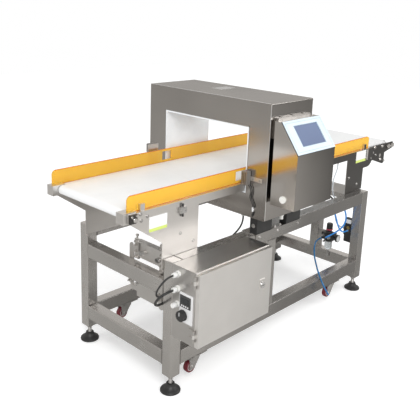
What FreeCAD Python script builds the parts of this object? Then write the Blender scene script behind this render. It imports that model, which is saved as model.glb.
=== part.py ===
import FreeCAD, Part
import math
import os
import re
import Sketcher

# Conveyor metal detector: a belt conveyor on a tube frame carries goods through
# the search head, and an air nozzle blows the rejected ones off the belt.
# Every place is given from the frame's front corner at the infeed end, on the
# floor: x along the belt's travel, y away from the operator, z up.

doc = FreeCAD.newDocument("conveyor_metal_detector")
V = FreeCAD.Vector
Turn = FreeCAD.Rotation

dims = doc.addObject("Spreadsheet::Sheet", "dims")
places = doc.addObject("App::VarSet", "places")
probe = doc.addObject("App::VarSet", "probe")
probe.addProperty("App::PropertyFloat", "answer", "Probe")
owners = {}
nodes = []


def sizes(heading, **values):
    """Write a group of driving dimensions into the sheet."""
    for line, (alias, value) in enumerate(values.items(), len(owners) + 1):
        dims.set(f"A{line}", heading)
        dims.set(f"B{line}", str(value))
        dims.setAlias(f"B{line}", alias)
        owners[alias] = "dims"
    dims.recompute()


def spelled(formula):
    """A formula with each name led by the object that holds it."""
    def lead(match):
        word = match.group(0)
        return f"{owners[word]}.{word}" if word in owners else word
    return re.sub(r"[a-z][a-z0-9_]*", lead, str(formula))


def place(name, formula):
    """A size or place that follows from others and that several pieces share."""
    places.addProperty("App::PropertyFloat", name, "Places")
    places.setExpression(name, spelled(formula))
    places.recompute()
    owners[name] = "places"


def number(formula):
    """What a formula comes to now."""
    probe.setExpression("answer", spelled(formula))
    probe.recompute()
    return probe.answer


def bind(thing, prop, formula):
    thing.setExpression(prop, spelled(formula))


def put(thing, at, turn=None):
    """Stand a piece at its place, given from the frame's front infeed corner."""
    thing.Placement = FreeCAD.Placement(V(0, 0, 0), turn or Turn())
    bind(thing, "Placement.Base.x", f"origin_x + {at[0]}")
    bind(thing, "Placement.Base.y", f"origin_y + {at[1]}")
    bind(thing, "Placement.Base.z", f"{at[2]}")


ALONG = {"x": Turn(V(0, 1, 0), 90), "y": Turn(V(1, 0, 0), -90), "z": Turn()}


def box(name, at, size):
    piece = doc.addObject("Part::Box", name)
    for prop, formula in zip(("Length", "Width", "Height"), size):
        bind(piece, prop, formula)
    put(piece, at)
    return piece


def rod(name, at, radius, length, axis="z"):
    piece = doc.addObject("Part::Cylinder", name)
    bind(piece, "Radius", radius)
    bind(piece, "Height", length)
    put(piece, at, ALONG[axis])
    return piece


def fused(name, pieces):
    whole = doc.addObject("Part::MultiFuse", name)
    whole.Shapes = pieces
    return whole


def cut(name, base, tools):
    whole = doc.addObject("Part::Cut", name)
    whole.Base = base
    whole.Tool = tools[0] if len(tools) == 1 else fused(f"{name}_tools", tools)
    return whole


def node(name, pieces):
    """A finished sub-part: one piece, or a group of separate ones."""
    if isinstance(pieces, list):
        whole = doc.addObject("Part::Compound", name)
        whole.Links = pieces
    else:
        whole = pieces
    whole.Label = name
    nodes.append(whole)
    return whole


def tube(name, at, size, axis):
    """Square tube, open at both ends along its axis."""
    skin = box(f"{name}_skin", at, size)
    inset = {a: "0" if a == axis else "tube_wall" for a in "xyz"}
    core_at = [f"{p} + {inset[a]}" for p, a in zip(at, "xyz")]
    core_size = [f"{s} - 2 * {inset[a]}" for s, a in zip(size, "xyz")]
    return cut(name, skin, [box(f"{name}_core", core_at, core_size)])


PLANES = {"front": "XZ_Plane", "end": "YZ_Plane", "top": "XY_Plane"}


def outlined(body, name, plane, points):
    """A closed sketch of straight lines through points bound to formulas."""
    sketch = body.newObject("Sketcher::SketchObject", name)
    origin = [f for f in body.Origin.OriginFeatures if f.Role == PLANES[plane]]
    sketch.AttachmentSupport = [(origin[0], "")]
    sketch.MapMode = "FlatFace"
    corners = [V(number(a), number(b), 0) for a, b in points]
    for i, corner in enumerate(corners):
        following = corners[(i + 1) % len(corners)]
        sketch.addGeometry(Part.LineSegment(corner, following), False)
    for i in range(len(corners)):
        following = (i + 1) % len(corners)
        sketch.addConstraint(Sketcher.Constraint("Coincident", i, 2, following, 1))
    for i, point in enumerate(points):
        for way, formula, now in zip("XY", point, corners[i]):
            rule = Sketcher.Constraint(f"Distance{way}", -1, 1, i, 1, now)
            bind(sketch, f"Constraints[{sketch.addConstraint(rule)}]", formula)
    return sketch


def plate(name, plane, points, thickness, at, rounded=()):
    """A profile padded to a thickness: front profiles lie before their place.

    Each entry of rounded is a corner's place in the list and its radius.
    """
    body = doc.addObject("PartDesign::Body", name)
    sketch = outlined(body, f"{name}_sketch", plane, points)
    pad = body.newObject("PartDesign::Pad", f"{name}_pad")
    pad.Profile = sketch
    bind(pad, "Length", thickness)
    sketch.Visibility = False
    put(body, at)
    for radius in dict.fromkeys(r for _, r in rounded):
        doc.recompute()
        tip = body.Tip
        corners = [points[i] for i, r in rounded if r == radius]
        spots = [(number(a), number(b)) for a, b in corners]
        edges = []
        for k, edge in enumerate(tip.Shape.Edges, 1):
            ends = [v.Point for v in edge.Vertexes]
            flat = [{"front": (p.x, p.z), "end": (p.y, p.z), "top": (p.x, p.y)}[plane] for p in ends]
            for spot in spots:
                if len(flat) == 2 and all(math.dist(f, spot) < 1e-3 for f in flat):
                    edges.append(f"Edge{k}")
        fillet = body.newObject("PartDesign::Fillet", f"{name}_round")
        fillet.Base = (tip, edges)
        bind(fillet, "Radius", radius)
    return body


def turned(name, points, at, axis="z"):
    """A profile of radius and height turned about its axis."""
    body = doc.addObject("PartDesign::Body", name)
    sketch = outlined(body, f"{name}_sketch", "front", points)
    turn = body.newObject("PartDesign::Revolution", f"{name}_turn")
    turn.Profile = sketch
    turn.ReferenceAxis = (sketch, ["V_Axis"])
    turn.Angle = 360
    sketch.Visibility = False
    put(body, at, ALONG[axis])
    return body


def mirrored_y(y, width="0"):
    """The place of a piece on the far side that matches one on the near side."""
    return f"(frame_width - ({y}) - ({width}))"


# Shared places -----------------------------------------------------------

sizes("Frame", frame_length=1370, frame_width=568, rail_top=541, tube_side=50,
      rail_height=60, tube_wall=2, leg_base=70, leg_plate=6, low_rail_base=112,
      infeed_beam_base=396, middle_post_place=558, air_post_place=245)
sizes("Conveyor reach", infeed_reach=185, discharge_reach=315)
sizes("Console outline", console_depth=115, console_gap=14, console_top_depth=29,
      console_base=685, console_shoulder=903, console_top=1019, bezel_thickness=4)
sizes("Head", head_front=62, head_back=630, head_place=438, head_length=274,
      head_base=610, head_top=1084, case_wall=3, case_bend=5)
place("console_back", "- head_front - console_gap")
place("console_front", "console_back - console_depth")
place("console_brow", "console_back - console_top_depth")
place("screen_run", "console_brow - console_front")
place("screen_rise", "console_top - console_shoulder")
place("screen_slope", "sqrt(screen_run ^ 2 + screen_rise ^ 2)")
place("screen_tilt", "asin(screen_rise / screen_slope) / 1 deg")
place("front_reach", "console_front - bezel_thickness * screen_rise / screen_slope")
place("origin_x", "(infeed_reach - frame_length - discharge_reach) / 2")
place("origin_y", "- (head_back + front_reach) / 2")
doc.recompute()

# Frame: square tube, welded ----------------------------------------------

far_x = "frame_length - tube_side"
far_y = "frame_width - tube_side"
corners = [("0", "0"), (far_x, "0"), ("0", far_y), (far_x, far_y)]

sizes("Feet", foot_radius=40, foot_edge=8, foot_hub_radius=16, foot_pad_top=34,
      stem_base=12, stem_radius=8, stem_top=140, nut_flats=24, nut_height=10,
      stem_clearance=0.05)
place("stem_bore", "stem_radius + stem_clearance")

legs = []
foot_nuts = []
for n, (corner_x, corner_y) in enumerate(corners, 1):
    middle = (f"{corner_x} + tube_side / 2", f"{corner_y} + tube_side / 2")
    skin = box(f"leg_{n}_skin", (corner_x, corner_y, "leg_base"),
               ("tube_side", "tube_side", "rail_top - leg_base"))
    core = box(f"leg_{n}_core",
               (f"{corner_x} + tube_wall", f"{corner_y} + tube_wall", "leg_base + leg_plate"),
               ("tube_side - 2 * tube_wall", "tube_side - 2 * tube_wall",
                "rail_top - leg_base - leg_plate - tube_wall"))
    bore = rod(f"leg_{n}_bore", (*middle, "leg_base"), "stem_bore", "leg_plate")
    legs.append(cut(f"leg_{n}", skin, [core, bore]))

    # Levelling foot: a rubber pad moulded round a threaded stem
    pad = turned(f"foot_pad_{n}",
                 [("0", "0"), ("foot_radius", "0"), ("foot_radius", "foot_edge"),
                  ("foot_hub_radius", "foot_pad_top"), ("stem_radius", "foot_pad_top"),
                  ("stem_radius", "stem_base"), ("0", "stem_base")], (*middle, "0"))
    stem = rod(f"foot_stem_{n}", (*middle, "stem_base"), "stem_radius",
               "stem_top - stem_base")
    node(f"levelling_foot_{n}", [pad, stem])

    nut = doc.addObject("Part::Prism", f"foot_nut_{n}_blank")
    nut.Polygon = 6
    bind(nut, "Circumradius", "nut_flats / sqrt(3)")
    bind(nut, "Height", "nut_height")
    put(nut, (*middle, "leg_base - nut_height"))
    thread = rod(f"foot_nut_{n}_bore", (*middle, "leg_base - nut_height"), "stem_bore",
                 "nut_height")
    foot_nuts.append(cut(f"foot_nut_{n}", nut, [thread]))

place("low_rail_top", "low_rail_base + rail_height")
place("top_rail_base", "rail_top - rail_height")
rail = ("frame_length - 2 * tube_side", "tube_side", "rail_height")
beam = ("tube_side", "frame_width - 2 * tube_side", "rail_height")
rails = []
for side, y in (("front", "0"), ("back", far_y)):
    for level, z in (("low", "low_rail_base"), ("top", "top_rail_base")):
        rails.append(tube(f"{side}_{level}_rail", ("tube_side", y, z), rail, "x"))
for name, x, z in (("infeed_low_beam", "0", "low_rail_base"),
                   ("infeed_beam", "0", "infeed_beam_base"),
                   ("discharge_low_beam", far_x, "low_rail_base"),
                   ("discharge_beam", far_x, "top_rail_base")):
    rails.append(tube(name, (x, "tube_side", z), beam, "y"))
post = ("tube_side", "tube_side", "top_rail_base - low_rail_top")
for name, x, y in (("front_post", "middle_post_place", "0"),
                   ("back_post", "middle_post_place", far_y),
                   ("air_post", far_x, "air_post_place")):
    legs.append(tube(name, (x, y, "low_rail_top"), post, "z"))
node("frame_uprights", legs)
node("frame_rails", rails)
node("foot_nuts", foot_nuts)

# Casters: they clear the floor while the machine stands on its feet --------

sizes("Casters", caster_plate_length=92, caster_plate_thickness=4, swivel_radius=21,
      swivel_gap=0.3, kingpin_radius=5, kingpin_head_radius=9, kingpin_head=3,
      fork_top=98, fork_sheet=3, fork_nose=16, fork_tail=12, fork_side_gap=1,
      caster_trail=28, axle_height=63, axle_radius=4, fork_toe=11, pivot_clearance=0.05,
      wheel_radius=26, wheel_width=22, tread_edge=3)
sizes("Caster places", front_infeed_caster=154, front_discharge_caster=1120,
      back_infeed_caster=232, back_discharge_caster=1150)
place("caster_plate_base", "low_rail_base - caster_plate_thickness")
place("fork_inside", "wheel_width + 2 * fork_side_gap")
place("fork_width", "fork_inside + 2 * fork_sheet")
place("kingpin_base", "fork_top - fork_sheet - swivel_gap - kingpin_head")

caster_plates = []
for n, (x, y) in enumerate((("front_infeed_caster", "tube_side / 2"),
                            ("front_discharge_caster", "tube_side / 2"),
                            ("back_infeed_caster", "frame_width - tube_side / 2"),
                            ("back_discharge_caster", "frame_width - tube_side / 2")), 1):
    top = box(f"caster_{n}_plate",
              (f"{x} - caster_plate_length / 2", f"{y} - tube_side / 2", "caster_plate_base"),
              ("caster_plate_length", "tube_side", "caster_plate_thickness"))
    race = rod(f"caster_{n}_race", (x, y, "fork_top + swivel_gap"), "swivel_radius",
               "caster_plate_base - fork_top - swivel_gap")
    pin = rod(f"caster_{n}_kingpin", (x, y, "kingpin_base"), "kingpin_radius",
              "caster_plate_base - kingpin_base")
    head = rod(f"caster_{n}_pin_head", (x, y, "kingpin_base"), "kingpin_head_radius",
               "kingpin_head")
    caster_plates.append(fused(f"caster_{n}_top", [top, race, pin, head]))

    cheek = plate(f"caster_{n}_cheeks", "front",
                  [("fork_nose", "fork_top"), ("- caster_trail - fork_tail", "fork_top"),
                   ("- caster_trail - fork_tail", "axle_height - fork_toe"),
                   ("fork_tail - caster_trail", "axle_height - fork_toe")],
                  "fork_width", (x, f"{y} + fork_width / 2", "0"))
    mouth = box(f"caster_{n}_mouth",
                (f"{x} - caster_trail - fork_tail", f"{y} - fork_inside / 2",
                 "axle_height - fork_toe"),
                ("caster_trail + fork_tail + fork_nose", "fork_inside",
                 "fork_top - fork_sheet - axle_height + fork_toe"))
    bore = rod(f"caster_{n}_swivel_bore", (x, y, "fork_top - fork_sheet"),
               "kingpin_radius + pivot_clearance", "fork_sheet")
    fork = cut(f"caster_{n}_fork", cheek, [mouth, bore])
    axle = rod(f"caster_{n}_axle",
               (f"{x} - caster_trail", f"{y} - fork_width / 2", "axle_height"),
               "axle_radius", "fork_width", "y")
    node(f"caster_fork_{n}", fused(f"caster_fork_{n}", [fork, axle]))

    bore = "axle_radius + pivot_clearance"
    node(f"caster_wheel_{n}", turned(f"caster_wheel_{n}",
         [(bore, "0"), ("wheel_radius - tread_edge", "0"), ("wheel_radius", "tread_edge"),
          ("wheel_radius", "wheel_width - tread_edge"),
          ("wheel_radius - tread_edge", "wheel_width"), (bore, "wheel_width")],
         (f"{x} - caster_trail", f"{y} - wheel_width / 2", "axle_height"), "y"))
node("caster_plates", caster_plates)

# Conveyor: bent side plates, rollers, bed and belt -------------------------

sizes("Belt and rollers", belt_top=750, belt_width=380, belt_thickness=2, roller_gap=0.3,
      nose_radius=15, nose_shaft=6, drive_radius=35, drive_shaft=10, snub_radius=12,
      snub_shaft=5, roller_inset=1, infeed_nose_reach=145, discharge_nose_reach=295,
      drive_nose_gap=110, drive_height=690, snub_drive_gap=85, snub_height=704,
      shaft_clearance=0.05, shaft_end_gap=0.5)
sizes("Side plates", plate_thickness=3, plate_top=747, strip_base=714, plate_lap=40,
      nose_tip=165, heel_reach=8, heel_height=605, infeed_leg_end=174,
      discharge_leg_place=1224, discharge_leg_end=1383, lobe_end=1470, lobe_base=650,
      lobe_radius=50, beam_clearance=2, flange_width=17, flange_end=1440, web_top=588)
sizes("Discharge plates", tension_thickness=6, tension_place=1440, tension_top=748,
      tip_base=716, tip_root=1600, root_height=700, root_base=641, belly_place=1585,
      belly_end=1472, belly_height=678, root_round=12)
sizes("Bearings", nose_block_length=55, nose_block_width=39, nose_block_base=712,
      nose_block_height=40, bearing_radius=26, bearing_depth=12)
place("line_y", "frame_width / 2")
place("discharge_nose_x", "frame_length + discharge_nose_reach")
place("drive_x", "discharge_nose_x - drive_nose_gap")
place("snub_x", "drive_x - snub_drive_gap")
place("bed_top", "belt_top - belt_thickness")
place("nose_height", "bed_top - roller_gap - nose_radius")
place("plate_inside", "tube_side + plate_thickness")
place("flange_edge", "plate_inside + flange_width")
place("tension_inside", "plate_inside + tension_thickness")
place("nose_block_end", "nose_block_length - infeed_reach")

side_outline = [
    ("- nose_tip", "plate_top"), ("- nose_tip", "strip_base"),
    ("- heel_reach", "heel_height"), ("- heel_reach", "rail_top - plate_lap"),
    ("infeed_leg_end", "rail_top - plate_lap"), ("infeed_leg_end", "strip_base"),
    ("discharge_leg_place", "strip_base"), ("discharge_leg_place", "rail_top - plate_lap"),
    ("frame_length - tube_side - beam_clearance", "rail_top - plate_lap"),
    ("frame_length - tube_side - beam_clearance", "rail_top"),
    ("discharge_leg_end", "rail_top"), ("discharge_leg_end", "lobe_base"),
    ("lobe_end", "lobe_base"), ("lobe_end", "plate_top")]

# Drive: a gear motor inside the far side plate, its belt outside it
sizes("Drive", motor_x=1310, motor_z=620, gearbox_side=80, gearbox_depth=60,
      motor_radius=38, motor_length=150, terminal_box_side=50, terminal_box_height=28,
      motor_shaft=8, motor_shaft_hole=14, shaft_socket=30, motor_pulley_radius=22,
      drive_pulley_radius=32, pulley_gap=4, pulley_width=20, pulley_rim=2,
      timing_belt_thickness=3, timing_belt_gap=0.3)
sizes("Drive cover", cover_reach=48, cover_drop=48, cover_rise=20, cover_end=60,
      cover_depth=32, cover_wall=2, cover_round=30)
place("far_face", "frame_width - tube_side")
place("pulley_face", "far_face + pulley_gap")
place("shaft_start", "plate_inside + shaft_end_gap")
place("far_shaft_end", "frame_width - shaft_start")

side_plates = {}
for side, face, flange in (("front", "plate_inside", "plate_inside"),
                           ("back", "far_face", mirrored_y("flange_edge"))):
    blank = plate(f"side_{side}_sheet", "front", side_outline, "plate_thickness",
                  ("0", face, "0"), [(12, "lobe_radius")])
    lip = box(f"side_{side}_lip", ("nose_block_end", flange, "plate_top - plate_thickness"),
              ("flange_end - nose_block_end", "flange_width", "plate_thickness"))
    side_plates[side] = fused(f"side_{side}_bent", [blank, lip])
node("side_plate_front", side_plates["front"])
shaft_hole = rod("motor_shaft_hole", ("motor_x", "far_face - plate_thickness", "motor_z"),
                 "motor_shaft_hole", "plate_thickness", "y")
node("side_plate_back", cut("side_plate_back", side_plates["back"], [shaft_hole]))

webs = []
for name, x in (("infeed", "infeed_leg_end - plate_thickness"),
                ("discharge", "discharge_leg_place")):
    webs.append(box(f"{name}_web", (x, "plate_inside", "rail_top"),
                    ("plate_thickness", "frame_width - 2 * plate_inside",
                     "web_top - rail_top")))
node("support_webs", webs)

# Discharge plates carry the drive, snub and nose rollers beyond the side plates
tension_outline = [
    ("tension_place", "tension_top"),
    ("frame_length + discharge_reach", "tension_top"),
    ("frame_length + discharge_reach", "tip_base"), ("tip_root", "root_height"),
    ("tip_root", "root_base"), ("belly_place", "root_base"),
    ("belly_end", "belly_height"), ("tension_place", "belly_height")]
tensions = []
bearings = []
for side, face, seat in (("near", "tension_inside", "tension_inside"),
                         ("far", mirrored_y("plate_inside"),
                          mirrored_y("tension_inside", "bearing_depth"))):
    blank = plate(f"{side}_tension_sheet", "front", tension_outline, "tension_thickness",
                  ("0", face, "0"), [(4, "root_round")])
    holes = []
    for roller, x, z, shaft in (("nose", "discharge_nose_x", "nose_height", "nose_shaft"),
                                ("drive", "drive_x", "drive_height", "drive_shaft"),
                                ("snub", "snub_x", "snub_height", "snub_shaft")):
        holes.append(rod(f"{side}_{roller}_hole", (x, f"{face} - tension_thickness", z),
                         f"{shaft} + shaft_clearance", "tension_thickness", "y"))
    tensions.append(cut(f"{side}_tension_plate", blank, holes))

    housing = rod(f"{side}_bearing_blank", ("drive_x", seat, "drive_height"),
                  "bearing_radius", "bearing_depth", "y")
    bore = rod(f"{side}_bearing_bore", ("drive_x", seat, "drive_height"),
               "drive_shaft + shaft_clearance", "bearing_depth", "y")
    bearings.append(cut(f"{side}_bearing", housing, [bore]))
for side, y in (("near", "plate_inside"),
                ("far", mirrored_y("plate_inside", "nose_block_width"))):
    block = box(f"{side}_nose_blank", ("- infeed_reach", y, "nose_block_base"),
                ("nose_block_length", "nose_block_width", "nose_block_height"))
    bore = rod(f"{side}_nose_bore", ("- infeed_nose_reach", y, "nose_height"),
               "nose_shaft + shaft_clearance", "nose_block_width", "y")
    bearings.append(cut(f"{side}_nose_block", block, [bore]))
node("tension_plates", tensions)
node("roller_bearings", bearings)


def roller(name, x, z, radius, shaft, shaft_end="far_shaft_end"):
    barrel = rod(f"{name}_barrel", (x, "line_y - belt_width / 2 + roller_inset", z), radius,
                 "belt_width - 2 * roller_inset", "y")
    spindle = rod(f"{name}_spindle", (x, "shaft_start", z), shaft,
                  f"{shaft_end} - shaft_start", "y")
    return fused(name, [barrel, spindle])


node("infeed_roller", roller("infeed_roller", "- infeed_nose_reach", "nose_height",
                             "nose_radius", "nose_shaft"))
node("discharge_roller", roller("discharge_roller", "discharge_nose_x", "nose_height",
                                "nose_radius", "nose_shaft"))
node("snub_roller", roller("snub_roller", "snub_x", "snub_height", "snub_radius",
                           "snub_shaft"))


def pulley(name, x, z, radius):
    """Toothed-belt pulley with a flange at each side."""
    core = rod(f"{name}_core", (x, "pulley_face", z), radius, "pulley_width", "y")
    rims = [rod(f"{name}_{side}_rim", (x, y, z), f"{radius} + timing_belt_thickness",
                "pulley_rim", "y")
            for side, y in (("near", "pulley_face"),
                            ("far", "pulley_face + pulley_width - pulley_rim"))]
    return fused(name, [core, *rims])


drive_barrel = roller("drive_barrel", "drive_x", "drive_height", "drive_radius",
                      "drive_shaft", "pulley_face + pulley_width")
drive_pulley = pulley("drive_pulley", "drive_x", "drive_height", "drive_pulley_radius")
node("drive_roller", fused("drive_roller", [drive_barrel, drive_pulley]))

motor_stub = rod("motor_stub", ("motor_x", mirrored_y("plate_inside", "shaft_socket"), "motor_z"),
                 "motor_shaft", "pulley_face + pulley_width - frame_width + plate_inside + shaft_socket",
                 "y")
node("motor_pulley", fused("motor_pulley", [
    motor_stub, pulley("motor_sheave", "motor_x", "motor_z", "motor_pulley_radius")]))

gearbox_y = mirrored_y("plate_inside", "gearbox_depth")
gearbox = box("gearbox", ("motor_x - gearbox_side / 2", gearbox_y, "motor_z - gearbox_side / 2"),
              ("gearbox_side", "gearbox_depth", "gearbox_side"))
motor_can = rod("motor_can", ("motor_x", f"{gearbox_y} - motor_length", "motor_z"),
                "motor_radius", "motor_length", "y")
terminal_box = box("terminal_box",
                   ("motor_x - motor_radius - terminal_box_height",
                    f"{gearbox_y} - terminal_box_side", "motor_z - terminal_box_side / 2"),
                   ("motor_radius + terminal_box_height", "terminal_box_side",
                    "terminal_box_side"))
socket = rod("gearbox_socket", ("motor_x", mirrored_y("plate_inside", "shaft_socket"), "motor_z"),
             "motor_shaft + shaft_clearance", "shaft_socket", "y")
node("drive_motor", cut("drive_motor", fused("motor_body", [gearbox, motor_can, terminal_box]),
                        [socket]))


def loop(circles, side):
    """Closed outline of a belt run round circles on either side of its travel.

    Each circle is (x, z, inside radius, outside radius, on the right or not);
    side picks the belt's inner or outer face.
    """
    stops = []
    for x, z, inner, outer, right in circles:
        reach = (inner, outer)[side] if right else (outer, inner)[side]
        stops.append((x, z, -reach if right else reach))
    runs = []
    for (x1, z1, r1), (x2, z2, r2) in zip(stops, stops[1:] + stops[:1]):
        heading = math.atan2(z2 - z1, x2 - x1)
        heading -= math.asin((r2 - r1) / math.hypot(x2 - x1, z2 - z1))
        left = (-math.sin(heading), math.cos(heading))
        runs.append([(x - r * left[0], z - r * left[1])
                     for x, z, r in ((x1, z1, r1), (x2, z2, r2))])
    edges = []
    for k, (x, z, r) in enumerate(stops):
        arrive, leave = runs[k - 1][1], runs[k][0]
        a0 = math.atan2(arrive[1] - z, arrive[0] - x)
        a1 = math.atan2(leave[1] - z, leave[0] - x)
        sweep = (a0 - a1 if r < 0 else a1 - a0) % (2 * math.pi)
        mid = a0 - sweep / 2 if r < 0 else a0 + sweep / 2
        crown = V(x + abs(r) * math.cos(mid), 0, z + abs(r) * math.sin(mid))
        edges.append(Part.Arc(V(arrive[0], 0, arrive[1]), crown,
                              V(leave[0], 0, leave[1])).toShape())
        edges.append(Part.LineSegment(V(leave[0], 0, leave[1]),
                                      V(runs[k][1][0], 0, runs[k][1][1])).toShape())
    return Part.Face(Part.Wire(edges))


def belt(name, circles, thickness, y, width):
    """A flat belt round its rollers, a gap off each and on the right or left."""
    turns = []
    for x, z, radius, gap, right in circles:
        inner = number(f"{radius} + {gap}")
        turns.append((number(x), number(z), inner, inner + number(thickness), right))
    ring = loop(turns, 1).cut(loop(turns, 0))
    piece = doc.addObject("Part::Feature", name)
    piece.Shape = ring.extrude(V(0, number(width), 0))
    put(piece, ("0", y, "0"))
    return piece


node("conveyor_belt", belt("conveyor_belt", [
    ("- infeed_nose_reach", "nose_height", "nose_radius", "roller_gap", True),
    ("discharge_nose_x", "nose_height", "nose_radius", "roller_gap", True),
    ("drive_x", "drive_height", "drive_radius", "roller_gap", True),
    ("snub_x", "snub_height", "snub_radius", "roller_gap", False)],
    "belt_thickness", "line_y - belt_width / 2", "belt_width"))
node("timing_belt", belt("timing_belt", [
    ("motor_x", "motor_z", "motor_pulley_radius", "timing_belt_gap", True),
    ("drive_x", "drive_height", "drive_pulley_radius", "timing_belt_gap", True)],
    "timing_belt_thickness - timing_belt_gap", "pulley_face + pulley_rim + timing_belt_gap",
    "pulley_width - 2 * pulley_rim - 2 * timing_belt_gap"))

sizes("Bed", bed_thickness=4, bed_end_gap=5)
bed_x = "nose_radius + bed_end_gap - infeed_nose_reach"
node("slider_bed", box("slider_bed", (bed_x, "flange_edge", "bed_top - bed_thickness"),
                       (f"discharge_nose_x - nose_radius - bed_end_gap - ({bed_x})",
                        "frame_width - 2 * flange_edge", "bed_thickness")))

cover_x = "motor_x - cover_reach"
cover_z = "motor_z - cover_drop"
cover_length = f"drive_x + cover_end - ({cover_x})"
cover_height = f"drive_height + drive_pulley_radius + cover_rise - ({cover_z})"
shells = []
for name, inset, rounding in (("skin", "0", "cover_round"),
                              ("core", "cover_wall", "cover_round - cover_wall")):
    low = (f"{cover_x} + {inset}", f"{cover_z} + {inset}")
    high = (f"{cover_x} + {cover_length} - {inset}", f"{cover_z} + {cover_height} - {inset}")
    shells.append(plate(f"cover_{name}", "front",
                        [low, (high[0], low[1]), high, (low[0], high[1])],
                        f"cover_depth - {inset}",
                        ("0", f"far_face + cover_depth - {inset}", "0"),
                        [(i, rounding) for i in range(4)]))
node("drive_cover", cut("drive_cover", shells[0], [shells[1]]))

sizes("Cable glands", gland_y=30, gland_nut_radius=11.5, gland_nut_length=12,
      gland_radius=9, gland_length=28, gland_hole=6, gland_thread=8, inner_nut=6,
      high_gland=512, middle_gland=455, low_gland=395, front_gland_place=586,
      front_gland_y=33, inner_gland_place=500, inner_gland_y=100)

# Search head ---------------------------------------------------------------

sizes("Aperture", aperture_width=482, aperture_base=706, aperture_height=272,
      liner_wall=6, coil_side=12, coil_spacing=80)
place("aperture_y", "line_y - aperture_width / 2")
place("head_depth", "head_front + head_back")
place("head_height", "head_top - head_base")

skin = plate("head_skin", "end",
             [("0", "0"), ("head_depth", "0"), ("head_depth", "head_height"),
              ("0", "head_height")],
             "head_length", ("head_place", "- head_front", "head_base"),
             [(i, "case_bend") for i in range(4)])
core = box("head_core",
           ("head_place + case_wall", "case_wall - head_front", "head_base + case_wall"),
           ("head_length - 2 * case_wall", "head_depth - 2 * case_wall",
            "head_height - 2 * case_wall"))
aperture_at = ("head_place", "aperture_y", "aperture_base")
aperture_size = ("head_length", "aperture_width", "aperture_height")
gland_bores = [rod(f"head_{name}_gland_hole", (f"{name}_gland_place", y, "head_base"),
                   "gland_thread", "case_wall")
               for name, y in (("front", "- front_gland_y"), ("inner", "inner_gland_y"))]
node("head_case", cut("head_case", skin, [
    core, box("head_aperture", aperture_at, aperture_size), *gland_bores]))

bore = box("liner_bore", ("head_place", "aperture_y + liner_wall",
                          "aperture_base + liner_wall"),
           ("head_length", "aperture_width - 2 * liner_wall",
            "aperture_height - 2 * liner_wall"))
node("aperture_liner", cut("aperture_liner", box("liner_blank", aperture_at, aperture_size),
                           [bore]))

# Transmitter coil in the middle, a receiver coil on each side of it
coils = []
for name, step in (("first_receiver", "- coil_spacing"), ("transmitter", "0"),
                   ("second_receiver", "coil_spacing")):
    x = f"head_place + head_length / 2 - coil_side / 2 + ({step})"
    outer = box(f"{name}_winding", (x, "aperture_y - coil_side", "aperture_base - coil_side"),
                ("coil_side", "aperture_width + 2 * coil_side",
                 "aperture_height + 2 * coil_side"))
    inner = box(f"{name}_opening", (x, "aperture_y", "aperture_base"),
                ("coil_side", "aperture_width", "aperture_height"))
    coils.append(cut(f"{name}_coil", outer, [inner]))
node("search_coils", coils)

# Insulating blocks on steel ledges that lap over the top rails
sizes("Head seats", ledge_place=436, ledge_length=309, ledge_overhang=25,
      ledge_thickness=4, apron_depth=20, foot_block_length=100, foot_block_width=38,
      foot_block_overhang=23, infeed_foot_place=441, discharge_foot_place=640)
place("ledge_width", "ledge_overhang + tube_side")
ledges = []
blocks = []


def across(side, y, width):
    """The y of a piece of that width: as given, or mirrored to the far side."""
    return y if side == "near" else mirrored_y(y, width)


for side in ("near", "far"):
    shelf = box(f"{side}_ledge_shelf",
                ("ledge_place", across(side, "- ledge_overhang", "ledge_width"), "rail_top"),
                ("ledge_length", "ledge_width", "ledge_thickness"))
    apron = box(f"{side}_ledge_apron",
                ("ledge_place", across(side, "- ledge_overhang", "ledge_thickness"),
                 "rail_top - apron_depth"),
                ("ledge_length", "ledge_thickness", "apron_depth"))
    ledges.append(fused(f"{side}_ledge", [shelf, apron]))
    for end in ("infeed", "discharge"):
        blocks.append(box(f"{side}_{end}_block",
                          (f"{end}_foot_place",
                           across(side, "- foot_block_overhang", "foot_block_width"),
                           "rail_top + ledge_thickness"),
                          ("foot_block_length", "foot_block_width",
                           "head_base - rail_top - ledge_thickness")))
node("head_ledges", ledges)
node("head_blocks", blocks)

# Console with the touch screen, hung on the front of the head ---------------

sizes("Console", console_place=447, console_length=253, console_wall=2, bezel_length=250,
      bezel_height=142, bezel_inset=1.2, module_inset=14, module_depth=32,
      panel_clearance=0.5, hanger_inset=20, hanger_base=945, hanger_top=1028)
place("brow_offset", "console_wall * tan(screen_tilt / 2)")
place("shoulder_offset", "console_wall * tan((90 - screen_tilt) / 2)")
skin = plate("console_skin", "end",
             [("console_back", "console_base"), ("console_front", "console_base"),
              ("console_front", "console_shoulder"), ("console_brow", "console_top"),
              ("console_back", "console_top")],
             "console_length", ("console_place", "0", "0"))
core = plate("console_core", "end",
             [("console_back - console_wall", "console_base + console_wall"),
              ("console_front + console_wall", "console_base + console_wall"),
              ("console_front + console_wall", "console_shoulder - shoulder_offset"),
              ("console_brow + brow_offset", "console_top - console_wall"),
              ("console_back - console_wall", "console_top - console_wall")],
             "console_length - 2 * console_wall",
             ("console_place + console_wall", "0", "0"))


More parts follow.
